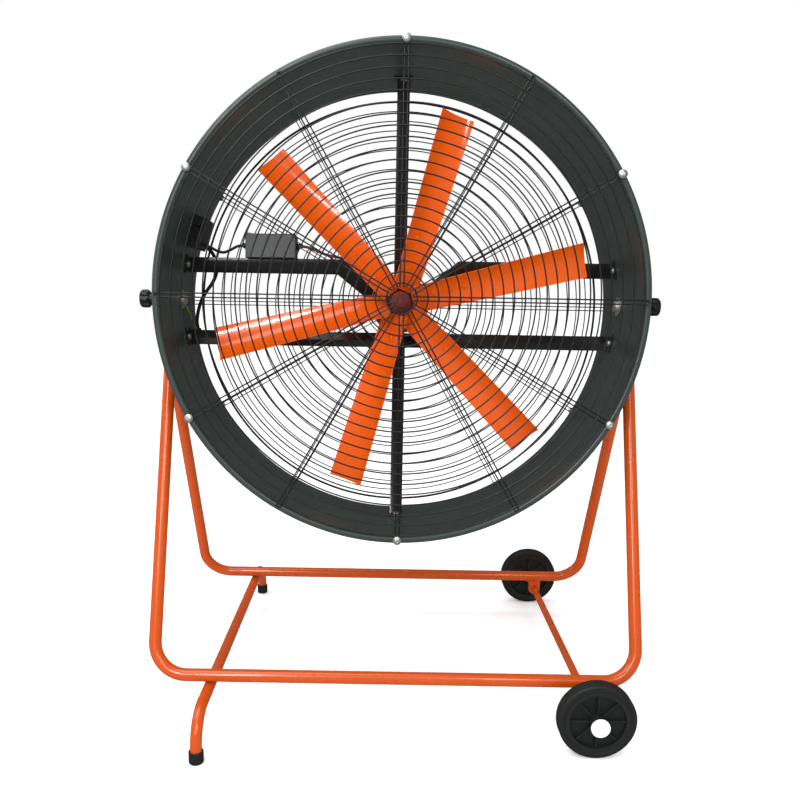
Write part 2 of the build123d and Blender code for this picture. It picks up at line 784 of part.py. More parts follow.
def motor_bell(outer_face, direction, closed):
    """An end bell with a bearing pocket; direction points into the motor."""
    inner_face = outer_face + direction * bell_depth
    pocket = outer_face + direction * bearing_cover
    pocket_end = pocket + direction * bearing_width
    spans = sorted((outer_face, inner_face))
    bell = barrel(motor_radius, 0, spans[0], spans[1])
    outer_edge = bell.edges().group_by(Axis.Y)[0 if direction > 0 else -1]
    bell = fillet(outer_edge, bell_edge)
    collar = sorted((inner_face - direction, pocket_end))
    bell += barrel(bearing_outer / 2 + bearing_seat_wall, 0, collar[0], collar[1])
    cut = sorted((pocket - direction * seat_gap, pocket_end + direction))
    bell -= barrel(bearing_outer / 2 + seat_gap, 0, cut[0], cut[1])
    if not closed:
        bell -= barrel(shaft_diameter / 2 + shaft_clearance, 0, outer_face - 5, outer_face + bell_depth)
    return bell


def motor_bearing(outer_face, direction):
    start = outer_face + direction * bearing_cover
    ends = sorted((start, start + direction * bearing_width))
    return barrel(bearing_outer / 2, bearing_bore / 2, ends[0], ends[1])


def motor_shell():
    front = motor_front + bell_depth + seat_gap
    rear = motor_rear - bell_depth - seat_gap
    return barrel(motor_radius, motor_radius - motor_wall, front, rear)


def stator_core():
    """The slotted ring that carries the windings, pressed into the shell."""
    core = barrel(motor_radius - motor_wall - seat_gap, stator_bore / 2, stator_front, stator_rear)
    length = stator_rear - stator_front + 2
    slot = Pos(0, (stator_front + stator_rear) / 2, stator_bore / 2 + stator_slot_depth / 2) * Box(
        stator_slot_width, length, stator_slot_depth + 4)
    slots = [Rot(0, 360 * index / stator_slot_count, 0) * slot for index in range(stator_slot_count)]
    return core - slots


def rotor_core():
    return barrel(stator_bore / 2 - rotor_air_gap, shaft_diameter / 2 + seat_gap, stator_front, stator_rear)


def motor_shaft():
    end = motor_rear - bearing_cover - body_gap
    shaft = barrel(shaft_diameter / 2, 0, shaft_front, end)
    return chamfer(shaft.edges().group_by(Axis.Y)[0], shaft_chamfer)


def motor_band():
    """The clamp ring round the motor, with a pair of lugs at the lower right."""
    rear = band_front + band_width
    band = barrel(band_radius, motor_radius + seat_gap, band_front, rear)
    middle = (band_front + rear) / 2
    turn = Rot(0, band_lug_angle, 0)
    lug = Pos(band_radius + (band_lug_length - band_thickness) / 2, middle, 0) * Box(
        band_lug_length, band_width, band_lug_sheet)
    shift = (band_split + band_lug_sheet) / 2
    band += turn * (Pos(0, 0, shift) * lug + Pos(0, 0, -shift) * lug)
    return band - turn * Pos(band_radius, middle, 0) * Box(3 * band_lug_length, band_width + 2, band_split)


# --- rotor ---

def blade_pitch(radius):
    """The blade's angle out of the plane of rotation falls evenly from root to tip."""
    share = (radius - blade_root) / (blade_tip - blade_root)
    return root_pitch + (tip_pitch - root_pitch) * share


def blade_frame(radius):
    """Plane across the blade at a radius: X along the chord to the leading edge, Y to the rear."""
    pitch = math.radians(blade_pitch(radius))
    chord = (math.cos(pitch), math.sin(pitch), 0)
    return Plane(origin=(0, blade_plane, radius), x_dir=chord, z_dir=(0, 0, 1))


curve_radius = (blade_chord ** 2 / 4 + blade_camber ** 2) / (2 * blade_camber)


def curved_section(radius, width, offset, sheet):
    """A strip of sheet on the blade's curve, hollow towards the front."""
    centre = blade_camber / 2 - curve_radius
    inner = curve_radius + offset
    outer = inner + sheet
    half = math.asin(width / 2 / curve_radius)

    def point(distance, angle):
        return (distance * math.sin(angle), centre + distance * math.cos(angle))

    outline = ThreePointArc(point(inner, -half), point(inner, 0), point(inner, half))
    outline += Line(point(inner, half), point(outer, half))
    outline += ThreePointArc(point(outer, half), point(outer, 0), point(outer, -half))
    outline += Line(point(outer, -half), point(inner, -half))
    return blade_frame(radius) * make_face(outline)


def rivet_places():
    """Locations on the top blade's mid line, with Z pointing to the front."""
    places = []
    for radius in rivet_radii:
        frame = blade_frame(radius)
        mid = frame.from_local_coords(Vector(0, blade_camber / 2, 0))
        places.append(Plane(origin=mid, x_dir=(0, 0, 1), z_dir=-frame.y_dir).location)
    return places


def rivet_holes():
    return [place * Cylinder(rivet_diameter / 2 + seat_gap, 20) for place in rivet_places()]


def blade(index):
    """A cambered, twisted sheet, square at both ends."""
    stations = [blade_root + (blade_tip - blade_root) * step / 4 for step in range(5)]
    sheet = loft([curved_section(radius, blade_chord, 0, blade_sheet) for radius in stations])
    sheet -= rivet_holes()
    return Rot(0, blade_first_angle + 360 * index / blade_count, 0) * sheet


def spider_arm():
    stations = [boss_radius - arm_overlap, (boss_radius + arm_reach) / 2, arm_reach]
    offset = blade_sheet + rivet_gap
    arm = loft([curved_section(radius, arm_width, offset, arm_sheet) for radius in stations])
    return arm - rivet_holes()


def blade_spider():
    """The boss on the shaft and the arms that the blades are riveted to."""
    spider = barrel(boss_radius, 0, boss_front, boss_rear)
    spider = fillet(spider.edges().group_by(Axis.Y)[0], boss_edge)
    arm = spider_arm()
    for index in range(blade_count):
        spider += Rot(0, blade_first_angle + 360 * index / blade_count, 0) * arm
    return spider - barrel(shaft_diameter / 2 + seat_gap, 0, boss_front - 5, boss_rear + 5)


def blade_rivets():
    rivets = []
    stack = blade_sheet + arm_sheet + rivet_gap
    for place in rivet_places():
        lift = rivet_head ** 2 / 8 / curve_radius + seat_gap
        front = Pos(0, 0, lift + rivet_head_height / 2) * Cylinder(rivet_head / 2, rivet_head_height)
        front = fillet(front.edges().group_by(Axis.Z)[-1], rivet_edge)
        rear = Pos(0, 0, -stack - lift - rivet_head_height / 2) * Cylinder(rivet_head / 2, rivet_head_height)
        pin_length = stack + rivet_head_height
        pin = Pos(0, 0, -stack / 2) * Cylinder(rivet_diameter / 2, pin_length)
        rivet = place * (front + rear + pin)
        for index in range(blade_count):
            rivets.append(Rot(0, blade_first_angle + 360 * index / blade_count, 0) * rivet)
    return rivets


def hub_nut():
    nut = extrude(RegularPolygon(nut_across_flats / 2, 6, major_radius=False), nut_height)
    washer = Pos(0, 0, seat_gap - hub_washer_thickness / 2) * Cylinder(
        hub_washer_diameter / 2, hub_washer_thickness)
    whole = Pos(0, boss_front - hub_washer_thickness, 0) * Rot(90, 0, 0) * (nut + washer)
    return whole - barrel(shaft_diameter / 2 + seat_gap, 0, shaft_front - 5, boss_front + 5)


# --- electrics ---

box_bottom = upper_strut_top + seat_gap
box_middle = Vector((box_left + box_right) / 2, box_front + box_depth / 2, box_bottom + box_height / 2)


def junction_box():
    """An open-topped box on the strut's flange."""
    outer = Box(box_length, box_depth, box_height)
    outer = fillet(outer.edges().filter_by(Axis.Z), box_corner)
    cavity = Pos(0, 0, box_wall) * Box(box_length - 2 * box_wall, box_depth - 2 * box_wall, box_height)
    posts = [
        Pos(x, y, 0) * Cylinder(box_screw_diameter, box_height)
        for x, y in box_screw_places()
    ]
    body = (outer - cavity) + [outer & post for post in posts]
    for x, y in box_screw_places():
        body -= Pos(x, y, box_height / 2) * Cylinder(box_screw_diameter / 2 + seat_gap, 2 * box_screw_hole)
    for side in (-1, 1):
        body -= Pos(side * box_length / 2, 0, box_gland_level - box_height / 2) * Rot(0, 90, 0) * Cylinder(
            box_gland_diameter / 2 + seat_gap, box_wall * 4)
    return Pos(*box_middle) * body


def box_screw_places():
    x = box_length / 2 - box_screw_inset
    y = box_depth / 2 - box_screw_inset
    return [(sx * x, sy * y) for sx in (-1, 1) for sy in (-1, 1)]


def junction_cover():
    lid = Box(box_length, box_depth, box_cover)
    lid = fillet(lid.edges().filter_by(Axis.Z), box_corner)
    lid = chamfer(lid.edges().group_by(Axis.Z)[-1], cover_chamfer)
    for x, y in box_screw_places():
        lid -= Pos(x, y, 0) * Cylinder(box_screw_diameter / 2 + seat_gap, box_cover * 2)
    return Pos(box_middle.X, box_middle.Y, box_bottom + box_height + box_cover / 2 + seat_gap) * lid


def box_screws():
    screws = []
    top = box_bottom + box_height + box_cover + 2 * seat_gap
    for x, y in box_screw_places():
        half = box_screw_head_height / 2
        head = Pos(0, 0, half) * Cylinder(box_screw_head / 2, box_screw_head_height)
        shank = Pos(0, 0, (half - box_screw_length) / 2) * Cylinder(
            box_screw_diameter / 2, box_screw_length + half)
        screws.append(Pos(box_middle.X + x, box_middle.Y + y, top) * (head + shank))
    return screws


def run_capacitor():
    level = box_bottom + box_wall + seat_gap + capacitor_diameter / 2
    length = capacitor_length / 2
    return across(capacitor_diameter / 2, box_middle.X - length, box_middle.X + length, box_middle.Y, level)


def switch_place():
    """Origin on the wall in the middle of the housing, Z pointing outwards, Y along the drum's axis."""
    return Rot(0, switch_angle, 0) * Pos(0, switch_front + switch_depth / 2, drum_inner_radius)


def switch_housing():
    """A box on the wall, with a pocket in its front face for the rocker."""
    middle = (switch_overlap - switch_reach) / 2
    block = Pos(0, 0, middle) * Box(switch_width, switch_depth, switch_reach + switch_overlap)
    block = switch_place() * fillet(block.edges().filter_by(Axis.Y), switch_corner)
    block &= barrel(drum_inner_radius - seat_gap, 0, drum_front, drum_rear)
    pocket = Box(rocker_length + 2 * rocker_gap, rocker_pocket * 2, rocker_width + 2 * rocker_gap)
    block -= rocker_place() * pocket
    return block - rocker_place() * (Pos(0, rocker_pin_setback, 0) * Cylinder(
        rocker_pin / 2 + bearing_gap, rocker_pin_length + 2 * rocker_gap))


def rocker_place():
    """Middle of the front face of the housing; X along the rocker, Z along its pin."""
    return switch_place() * Pos(0, -switch_depth / 2, -switch_reach / 2)


def switch_rocker():
    """The rocker at one end of its throw, on its own pin."""
    body = Box(rocker_length, rocker_depth, rocker_width)
    body = fillet(body.edges().filter_by(Axis.Z), rocker_edge)
    pin = Cylinder(rocker_pin / 2, rocker_pin_length)
    return rocker_place() * Pos(0, rocker_pin_setback, 0) * Rot(0, 0, -rocker_throw) * (
        Pos(0, -rocker_proud, 0) * body + pin)


def gland_place():
    """The supply cable's way through the wall, Z pointing outwards."""
    return Rot(0, gland_angle, 0) * Pos(0, gland_setback, drum_inner_radius)


def inlet_gland():
    """An elbow through the wall; the supply cable leaves its collar along the wall, upwards."""
    stem = Pos(0, 0, gland_reach - gland_length / 2) * Cylinder(gland_diameter / 2, gland_length)
    outer_nut = Pos(0, 0, drum_wall + gland_nut_gap + gland_nut_height / 2) * Cylinder(
        gland_nut_diameter / 2, gland_nut_height)
    elbow = Pos(0, 0, -(elbow_height / 2 + elbow_gap)) * Box(elbow_width, elbow_width, elbow_height)
    elbow = fillet(elbow.edges().group_by(Axis.Z)[0], elbow_edge)
    collar_start = elbow_width / 2 - 1
    collar = Pos(collar_start + elbow_collar / 2, 0, -elbow_axis) * Rot(0, 90, 0) * Cylinder(
        gland_collar_diameter / 2, elbow_collar)
    bore = Pos(elbow_width / 2 + elbow_collar, 0, -elbow_axis) * Rot(0, 90, 0) * Cylinder(
        supply_cable_diameter / 2 + seat_gap, 3 * elbow_collar)
    return gland_place() * (stem + outer_nut + elbow + collar - bore)


def cable_glands():
    """The inlet elbow in the wall, a gland on each end of the junction box, and one on the motor."""
    level = box_bottom + box_gland_level
    ends = [inlet_gland()]
    for side, face in ((-1, box_left), (1, box_right)):
        outer = face + side * box_gland_length
        plug = across(box_gland_diameter / 2, face - side * box_wall, outer, box_middle.Y, level)
        flange_end = face + side * box_gland_flange_height
        plug += across(box_gland_flange / 2, face + side * seat_gap, flange_end, box_middle.Y, level)
        bore_start = face - side * box_gland_length * 2
        bore = across(box_cable_diameter / 2 + seat_gap, bore_start, outer + side, box_middle.Y, level)
        ends.append(plug - bore)
    ends.append(motor_gland())
    return ends


def motor_gland():
    """A short collar on the motor shell, in front of the left arm."""
    place = Rot(0, motor_gland_angle, 0) * Pos(0, motor_gland_setback, motor_radius)
    collar = Pos(0, 0, box_gland_length / 2 + seat_gap) * Cylinder(
        box_gland_diameter / 2, box_gland_length + 2)
    collar = place * collar - barrel(motor_radius + seat_gap, 0, motor_front, motor_rear)
    return collar - place * Cylinder(box_cable_diameter / 2 + seat_gap, 60)


def held_cable(name, points, diameter):
    """A lead along straight runs joined by arcs that touch them."""
    corners = [Vector(*point) for point in points]
    runs = [(end - start).length for start, end in zip(corners, corners[1:])]
    radii = []
    for index in range(1, len(corners) - 1):
        before = corners[index] - corners[index - 1]
        after = corners[index + 1] - corners[index]
        turn = before.get_angle(after)
        radii.append(lead_bend_share * min(runs[index - 1], runs[index]) / math.tan(math.radians(turn / 2)))
    path = FilletPolyline(*corners, radius=radii)
    tube = sweep(Plane(origin=path @ 0, z_dir=path % 0) * Circle(diameter / 2), path=path)
    expected = math.pi * diameter ** 2 / 4 * path.length
    print(name, "radii", [round(radius, 1) for radius in radii])
    print(name, "length", round(path.length, 1), "volume ratio", round(tube.volume / expected, 5))
    return tube


def off_left_wall(inset, y, level):
    """A point in the drum's frame, given by its distance from the left wall's level point."""
    return Vector(inset - drum_inner_radius, y, level)


def supply_cable():
    """From the inlet elbow up past the left wall and behind the upper strut to the switch housing."""
    radius = drum_inner_radius - elbow_axis
    outlet = Pos(elbow_width / 2 + lead_insert / 2, gland_setback, radius)
    start = (Rot(0, gland_angle, 0) * outlet).position
    rear = switch_front + switch_depth
    points = [start, start + Vector(*supply_first_run)]
    points += [off_left_wall(*place) for place in supply_route]
    points.append(off_left_wall(supply_end_inset, rear + supply_last_run, supply_end_level))
    points.append(off_left_wall(supply_end_inset, rear + seat_gap, supply_end_level))
    return held_cable("supply_cable", points, supply_cable_diameter)


def switch_cable():
    """From the junction box, down to the strut and along it to the switch housing's inner face."""
    level = box_bottom + box_gland_level
    face = drum_inner_radius - switch_reach - 2 * seat_gap
    middle = switch_front + switch_depth / 2
    turn = Rot(0, switch_angle, 0)
    end = (turn * Pos(switch_entry, middle, face)).position
    last_bend = (turn * Pos(switch_entry, middle, face - switch_last_run)).position
    box_end = Vector(box_left, box_middle.Y, level)
    points = [box_end - Vector(lead_insert, 0, 0)]
    points += [box_end + Vector(*step) for step in switch_route]
    return held_cable("switch_cable", points + [last_bend, end], box_cable_diameter)


def motor_cable():
    """From the junction box along the strut and its arm to the motor."""
    level = box_bottom + box_gland_level
    turn = Rot(0, motor_gland_angle, 0)
    reach = motor_radius + motor_entry
    end = (turn * Pos(0, motor_gland_setback, reach)).position
    last_bend = (turn * Pos(0, motor_gland_setback, reach + motor_last_run)).position
    box_end = Vector(box_right, box_middle.Y, level)
    points = [box_end + Vector(lead_insert, 0, 0)]
    points += [box_end + Vector(*step) for step in motor_route]
    points += [last_bend + Vector(*motor_approach), last_bend, end]
    return held_cable("motor_cable", points, box_cable_diameter)


def earth_lead():
    """A thin lead from the left pivot bolt down to the inlet gland."""
    inlet_level = drum_inner_radius * math.cos(math.radians(gland_angle))
    points = [off_left_wall(inset, y, share * inlet_level) for inset, y, share in earth_route]
    return held_cable("earth_lead", points, earth_lead_diameter)


# --- all the pieces, each under its own name ---

front_frame = leg_frame(-1, front_bar_half_gap, front_leg_half_gap)
rear_frame = leg_frame(1, rear_bar_half_gap, rear_leg_half_gap)
stand_pieces = {
    "front_frame": front_frame,
    "rear_frame": rear_frame,
    "foot_rail": foot_rail(),
    "foot_cap_front": foot_cap(-1),
    "foot_cap_rear": foot_cap(1),
    "axle_rod": axle_rod(),
    "axle_brackets": [axle_bracket(-1), axle_bracket(1)],
    "axle_collars": [axle_collar(-1), axle_collar(1)],
    "wheel_caps": [push_cap(-1), push_cap(1)],
    "leg_plugs": leg_ends(-1, front_bar_half_gap, front_leg_half_gap)
    + leg_ends(1, rear_bar_half_gap, rear_leg_half_gap),
    "pivot_washers": pivot_washers([front_frame, rear_frame]),
    "front_wheel_centre": wheel_centre(-1),
    "front_tyre": tyre(-1),
    "rear_wheel_centre": wheel_centre(1),
    "rear_tyre": tyre(1),
}

front_rings = [
    wire_ring(front_ring_first + front_ring_pitch * index, front_ring_plane, front_wire)
    for index in range(front_ring_count)
]
rear_rings = [
    wire_ring(rear_ring_first + rear_ring_pitch * index, rear_ring_plane, rear_wire)
    for index in range(rear_ring_count)
]
rear_rim_radius = rear_ring_first + rear_ring_pitch * rear_ring_count
rear_rings.append(wire_ring(rear_rim_radius, rear_rim_plane, rear_rim_wire))

drum_pieces = {
    "drum_shell": drum_shell(),
    "front_guard_rings": front_rings,
    "front_guard_spokes": guard_spokes(front_screw_circle, front_roll_middle, front_spoke_plane, front_wire),
    "rear_guard_rings": rear_rings,
    "rear_guard_spokes": guard_spokes(rear_screw_circle, rear_roll_middle, rear_spoke_plane, rear_wire),
    "guard_screws": guard_screws(front_screw_circle, front_screw_face, drum_front - seat_gap)
    + guard_screws(rear_screw_circle, rear_screw_face, drum_rear + seat_gap),
    "upper_strut_left": upper_strut(-1),
    "upper_strut_right": upper_strut(1),
    "lower_strut": lower_strut(),
    "top_strut": top_strut(),
    "bottom_strut": bottom_strut(),
    "strut_bolts": strut_bolts(),
    "motor_band": motor_band(),
    "motor_shell": motor_shell(),
    "motor_front_bell": motor_bell(motor_front, 1, False),
    "motor_rear_bell": motor_bell(motor_rear, -1, True),
    "stator_core": stator_core(),
    "motor_bearings": [motor_bearing(motor_front, 1), motor_bearing(motor_rear, -1)],
    "junction_box": junction_box(),
    "junction_cover": junction_cover(),
    "run_capacitor": run_capacitor(),
    "box_screws": box_screws(),
    "switch_housing": switch_housing(),
    "cable_glands": cable_glands(),
    "supply_cable": supply_cable(),
    "switch_cable": switch_cable(),
    "motor_cable": motor_cable(),
    "earth_lead": earth_lead(),
    "pivot_pads": both_sides(pivot_pad()),
    "pivot_bolts": both_sides(pivot_bolt()),
    "blade_spider": blade_spider(),
    "blade_rivets": blade_rivets(),
    "motor_shaft": motor_shaft(),
    "rotor_core": rotor_core(),
    "hub_nut": hub_nut(),
    "clamp_knob_right": clamp_knob(),
    "clamp_knob_left": mirror(clamp_knob(), about=Plane.YZ),
    "switch_rocker": switch_rocker(),
}
for number in range(blade_count):
    drum_pieces["blade_" + str(number + 1)] = blade(number)


def solids_of(shape):
    """The shape's solids, whether it is one shape or a list of them."""
    shapes = shape if isinstance(shape, list) else [shape]
    return [solid for item in shapes for solid in item.solids()]


os.makedirs("parts", exist_ok=True)
for name, shape in stand_pieces.items():
    solids = solids_of(shape)
    export_step(solids[0] if len(solids) == 1 else Compound(children=solids), "parts/" + name + ".step")
for name, shape in drum_pieces.items():
    solids = [in_drum(solid) for solid in solids_of(shape)]
    export_step(solids[0] if len(solids) == 1 else Compound(children=solids), "parts/" + name + ".step")
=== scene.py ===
import bpy
import bmesh
import math
import numpy as np
from mathutils import Matrix, Vector


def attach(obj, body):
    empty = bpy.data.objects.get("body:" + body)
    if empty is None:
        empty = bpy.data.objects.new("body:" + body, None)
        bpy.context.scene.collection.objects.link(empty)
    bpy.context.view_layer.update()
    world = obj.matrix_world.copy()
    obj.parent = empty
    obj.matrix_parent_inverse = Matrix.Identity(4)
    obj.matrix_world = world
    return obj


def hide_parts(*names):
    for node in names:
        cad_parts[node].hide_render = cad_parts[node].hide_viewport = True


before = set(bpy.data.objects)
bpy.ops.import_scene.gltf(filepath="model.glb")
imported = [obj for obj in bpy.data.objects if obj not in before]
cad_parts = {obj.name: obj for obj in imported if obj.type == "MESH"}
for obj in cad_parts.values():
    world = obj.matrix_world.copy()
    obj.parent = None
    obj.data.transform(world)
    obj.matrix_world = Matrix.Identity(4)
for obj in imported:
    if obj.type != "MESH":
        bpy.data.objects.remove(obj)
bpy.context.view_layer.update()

# Drum fan on a wheeled tube stand. Sizes below are in millimetres unless a note says otherwise,
# and the meshes are in metres, in the frame's own coordinates.
mm = 0.001
print("frame loaded", len(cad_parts), "nodes")

drumPlace = {"pivotHeight": 840.0, "tilt": 4.55}  # tilt in degrees, the front faces up
tiltAngle = math.radians(drumPlace["tilt"])


def fromDrum(points):
    # drum's own frame (Y along its axis, to the rear) in mm -> row frame in metres:
    # Y and Z turned about X by the tilt, then Z lifted to the pivot
    p = np.asarray(points, float)
    c, s = math.cos(tiltAngle), math.sin(tiltAngle)
    y = p[..., 1] * c + p[..., 2] * s
    z = drumPlace["pivotHeight"] - p[..., 1] * s + p[..., 2] * c
    return np.stack([p[..., 0], y, z], -1) * mm


def fromStand(points):  # row frame in mm -> metres
    return np.asarray(points, float) * mm


def turned(points, degrees):
    # clockwise about the drum's axis, seen from the front: x = x cos a + z sin a, z = z cos a - x sin a
    p = np.asarray(points, float)
    a = math.radians(degrees)
    x = p[..., 0] * math.cos(a) + p[..., 2] * math.sin(a)
    z = -p[..., 0] * math.sin(a) + p[..., 2] * math.cos(a)
    return np.stack([x, p[..., 1], z], -1)


def placed(part, place):  # a part's points moved by one of the functions above, its faces as they are
    return place(part[0]), part[1]


def gridFaces(rowCount, columnCount, closeRows):
    # quads between neighbouring points of a grid that is numbered row by row, each row closed
    r = np.arange(rowCount if closeRows else rowCount - 1)
    a, b = np.meshgrid(r, np.arange(columnCount), indexing="ij")
    a2, b2 = (a + 1) % rowCount, (b + 1) % columnCount
    n = columnCount
    return np.stack([a * n + b, a * n + b2, a2 * n + b2, a2 * n + b], -1).reshape(-1, 4)


def grid(points, closeRows=False):  # rows of closed outlines, joined each to the next
    p = np.asarray(points, float)
    return p.reshape(-1, 3), gridFaces(p.shape[0], p.shape[1], closeRows).tolist()


def cappedGrid(points):  # the same, with the first and the last outline filled
    verts, faces = grid(points)
    n, count = np.asarray(points).shape[1], len(verts)
    return verts, faces + [list(range(n))] + [list(range(count - n, count))]


def lathe(profile, segments, closed=False):
    # profile of (radius, y) turned about the Y axis: x = r sin t, z = r cos t
    rim = np.asarray(profile, float)
    t = np.linspace(0, math.radians(360), segments, endpoint=False)
    r, y = rim[:, 0][:, None], rim[:, 1][:, None]
    return grid(np.stack([r * np.sin(t), y + 0 * t, r * np.cos(t)], -1), closeRows=closed)


def arc(centre, radius, start, end, count):  # points on a circle in a plane, angles in degrees
    t = np.radians(np.linspace(start, end, count))
    return np.stack([centre[0] + radius * np.cos(t), centre[1] + radius * np.sin(t)], -1)


def straight(radius, start, end, count):  # points of one radius, evenly spaced along the axis
    return np.stack([np.full(count, radius), np.linspace(start, end, count)], -1)


def bentPath(corners, radius, steps=14):
    # straight runs through the corners, each corner rounded by an arc that touches both runs
    p = np.asarray(corners, float)
    out = [p[0]]
    for before, at, after in zip(p, p[1:], p[2:]):
        a, b = (before - at), (after - at)
        a, b = a / np.linalg.norm(a), b / np.linalg.norm(b)
        half = math.acos(np.clip(a @ b, -1, 1)) / 2
        reach, lift = radius / math.tan(half), radius / math.sin(half)
        middle = at + (a + b) / np.linalg.norm(a + b) * lift
        s, e = at + a * reach - middle, at + b * reach - middle
        turn = math.acos(np.clip(s @ e / radius ** 2, -1, 1))
        k = np.linspace(0, 1, steps)[:, None]
        out += list(middle + (np.sin((1 - k) * turn) * s + np.sin(k * turn) * e) / math.sin(turn))
    return np.array(out + [p[-1]])


def flatTube(path, normal, radius, sides):
    # a circle carried along a flat path: its axes are the path's plane normal and the in-plane side
    p = np.asarray(path, float)
    run = p[1:] - p[:-1]
    ahead, behind = np.vstack([run, run[-1:]]), np.vstack([run[:1], run])
    tangent = ahead / np.linalg.norm(ahead, axis=1)[:, None]
    tangent = tangent + behind / np.linalg.norm(behind, axis=1)[:, None]
    tangent /= np.linalg.norm(tangent, axis=1)[:, None]
    normal = np.asarray(normal, float) / np.linalg.norm(normal)
    side = np.cross(tangent, normal)
    t = np.linspace(0, 2 * math.pi, sides, endpoint=False)
    ring = np.cos(t)[None, :, None] * normal + np.sin(t)[None, :, None] * side[:, None, :]
    return cappedGrid(p[:, None, :] + ring * radius)


meshing = {"merge": 1e-6, "mergePacked": 2e-6,  # metres
           "sharp": 35, "flat": 1.0, "easedOver": 50, "easeSegments": 2}  # degrees, then a count


def finishPiece(name, mesh, material, body, nodes, sharp):
    # smooth faces with their sharp edges kept; the piece rides on its body and stands for its nodes
    mesh.shade_smooth()
    mesh.set_sharp_from_angle(angle=math.radians(sharp))
    mesh.materials.append(material)
    piece = bpy.data.objects.new(name, mesh)
    bpy.context.scene.collection.objects.link(piece)
    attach(piece, body)
    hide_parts(*nodes)
    return piece


def makePiece(name, parts, material, body, nodes, sharp=meshing["sharp"]):
    # one mesh of several parts, each a pair of points and faces, with its faces turned outwards
    verts, faces, start = [], [], 0
    for v, f in parts:
        verts.append(np.asarray(v, float))
        faces += [[i + start for i in face] for face in f]
        start += len(v)
    mesh = bpy.data.meshes.new(name)
    mesh.from_pydata(np.vstack(verts).tolist(), [], faces)
    work = bmesh.new()
    work.from_mesh(mesh)
    bmesh.ops.remove_doubles(work, verts=work.verts, dist=meshing["merge"])
    bmesh.ops.recalc_face_normals(work, faces=work.faces)
    work.to_mesh(mesh)
    work.free()
    finishPiece(name, mesh, material, body, nodes, sharp)


def dressNode(node, material, body, bevel):
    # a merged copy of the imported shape, with its hard edges eased by a bevel in mm
    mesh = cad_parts[node].data.copy()
    mesh.materials.clear()
    work = bmesh.new()
    work.from_mesh(mesh)
    bmesh.ops.remove_doubles(work, verts=work.verts, dist=meshing["mergePacked"])
    bmesh.ops.dissolve_limit(work, angle_limit=math.radians(meshing["flat"]), verts=work.verts,
                             edges=work.edges)
    work.to_mesh(mesh)
    work.free()
    piece = finishPiece(node + "_skin", mesh, material, body, [node], meshing["sharp"])
    if bevel:
        ease = piece.modifiers.new("easedEdges", "BEVEL")
        ease.width, ease.segments = bevel * mm, meshing["easeSegments"]
        ease.limit_method, ease.angle_limit = "ANGLE", math.radians(meshing["easedOver"])


def hexColour(code):  # sRGB hex -> linear RGBA
    parts = [int(code[i:i + 2], 16) / 255 for i in (1, 3, 5)]
    return [v / 12.92 if v <= 0.04045 else ((v + 0.055) / 1.055) ** 2.4 for v in parts] + [1.0]


def addNode(tree, kind, inputs=None, **settings):
    # one node with its settings; an input's value is a number, a colour or another node's socket
    node = tree.nodes.new(kind)
    for key, value in settings.items():
        setattr(node, key, value)
    for key, value in (inputs or {}).items():
        if isinstance(value, bpy.types.NodeSocket):
            tree.links.new(value, node.inputs[key])
        else:
            node.inputs[key].default_value = value
    return node


def newMaterial(name, **surface):
    material = bpy.data.materials.new(name)
    material.use_nodes = True
    tree = material.node_tree
    tree.nodes.clear()
    shader = addNode(tree, "ShaderNodeBsdfPrincipled", surface)
    output = addNode(tree, "ShaderNodeOutputMaterial")
    tree.links.new(shader.outputs[0], output.inputs["Surface"])
    place = addNode(tree, "ShaderNodeTexCoord")
    return material, tree, shader, place.outputs["Object"]


def bumpSurface(tree, shader, place, size, finish, height):
    # fine bumps, size and height in mm
    grain = addNode(tree, "ShaderNodeTexNoise", {
        "Vector": place, "Scale": 1000.0 / size, "Detail": finish["grainDetail"], "Roughness": 0.5})
    bump = addNode(tree, "ShaderNodeBump", {
        "Height": grain.outputs["Fac"], "Strength": finish["strength"], "Distance": height * mm})
    tree.links.new(bump.outputs["Normal"], shader.inputs["Normal"])


def wearSurface(tree, shader, place, roughness, finish):
    # roughness wanders slowly between a low and a high share of its middle value
    patches = addNode(tree, "ShaderNodeTexNoise", {
        "Vector": place, "Scale": finish["patches"], "Detail": finish["patchDetail"], "Roughness": 0.5})
    uneven = addNode(tree, "ShaderNodeMapRange", {
        "Value": patches.outputs["Fac"], "To Min": roughness * finish["low"],
        "To Max": roughness * finish["high"]})
    tree.links.new(uneven.outputs["Result"], shader.inputs["Roughness"])


# patches and tones are counted per metre, low and high are shares of the roughness
paintFinish = {"ior": 1.5, "coatShare": 0.4, "tones": 9.0, "toneDetail": 3.0, "grainDetail": 1.0,
               "strength": 0.25, "patches": 30.0, "patchDetail": 4.0, "low": 0.8, "high": 1.25}
metalFinish = {"grainDetail": 2.0, "strength": 0.15, "height": 0.1, "patches": 60.0, "patchDetail": 4.0,
               "low": 0.75, "high": 1.3}
mouldedFinish = {"grainDetail": 2.0, "strength": 0.3, "patches": 45.0, "patchDetail": 3.0, "low": 0.85,
                 "high": 1.15}


def paint(name, light, dark, roughness, peel, peelHeight, coat):
    # colour wanders slowly between two shades, fine orange peel in the bump, roughness a little uneven
    material, tree, shader, place = newMaterial(name, IOR=paintFinish["ior"])
    shader.inputs["Coat Weight"].default_value = coat
    shader.inputs["Coat Roughness"].default_value = roughness * paintFinish["coatShare"]
    slow = addNode(tree, "ShaderNodeTexNoise", {
        "Vector": place, "Scale": paintFinish["tones"], "Detail": paintFinish["toneDetail"],
        "Roughness": 0.5})
    colour = addNode(tree, "ShaderNodeMix", {"Factor": slow.outputs["Fac"]}, data_type="RGBA")
    colour.inputs[6].default_value, colour.inputs[7].default_value = hexColour(dark), hexColour(light)
    tree.links.new(colour.outputs[2], shader.inputs["Base Color"])
    bumpSurface(tree, shader, place, peel, paintFinish, peelHeight)
    wearSurface(tree, shader, place, roughness, paintFinish)
    return material


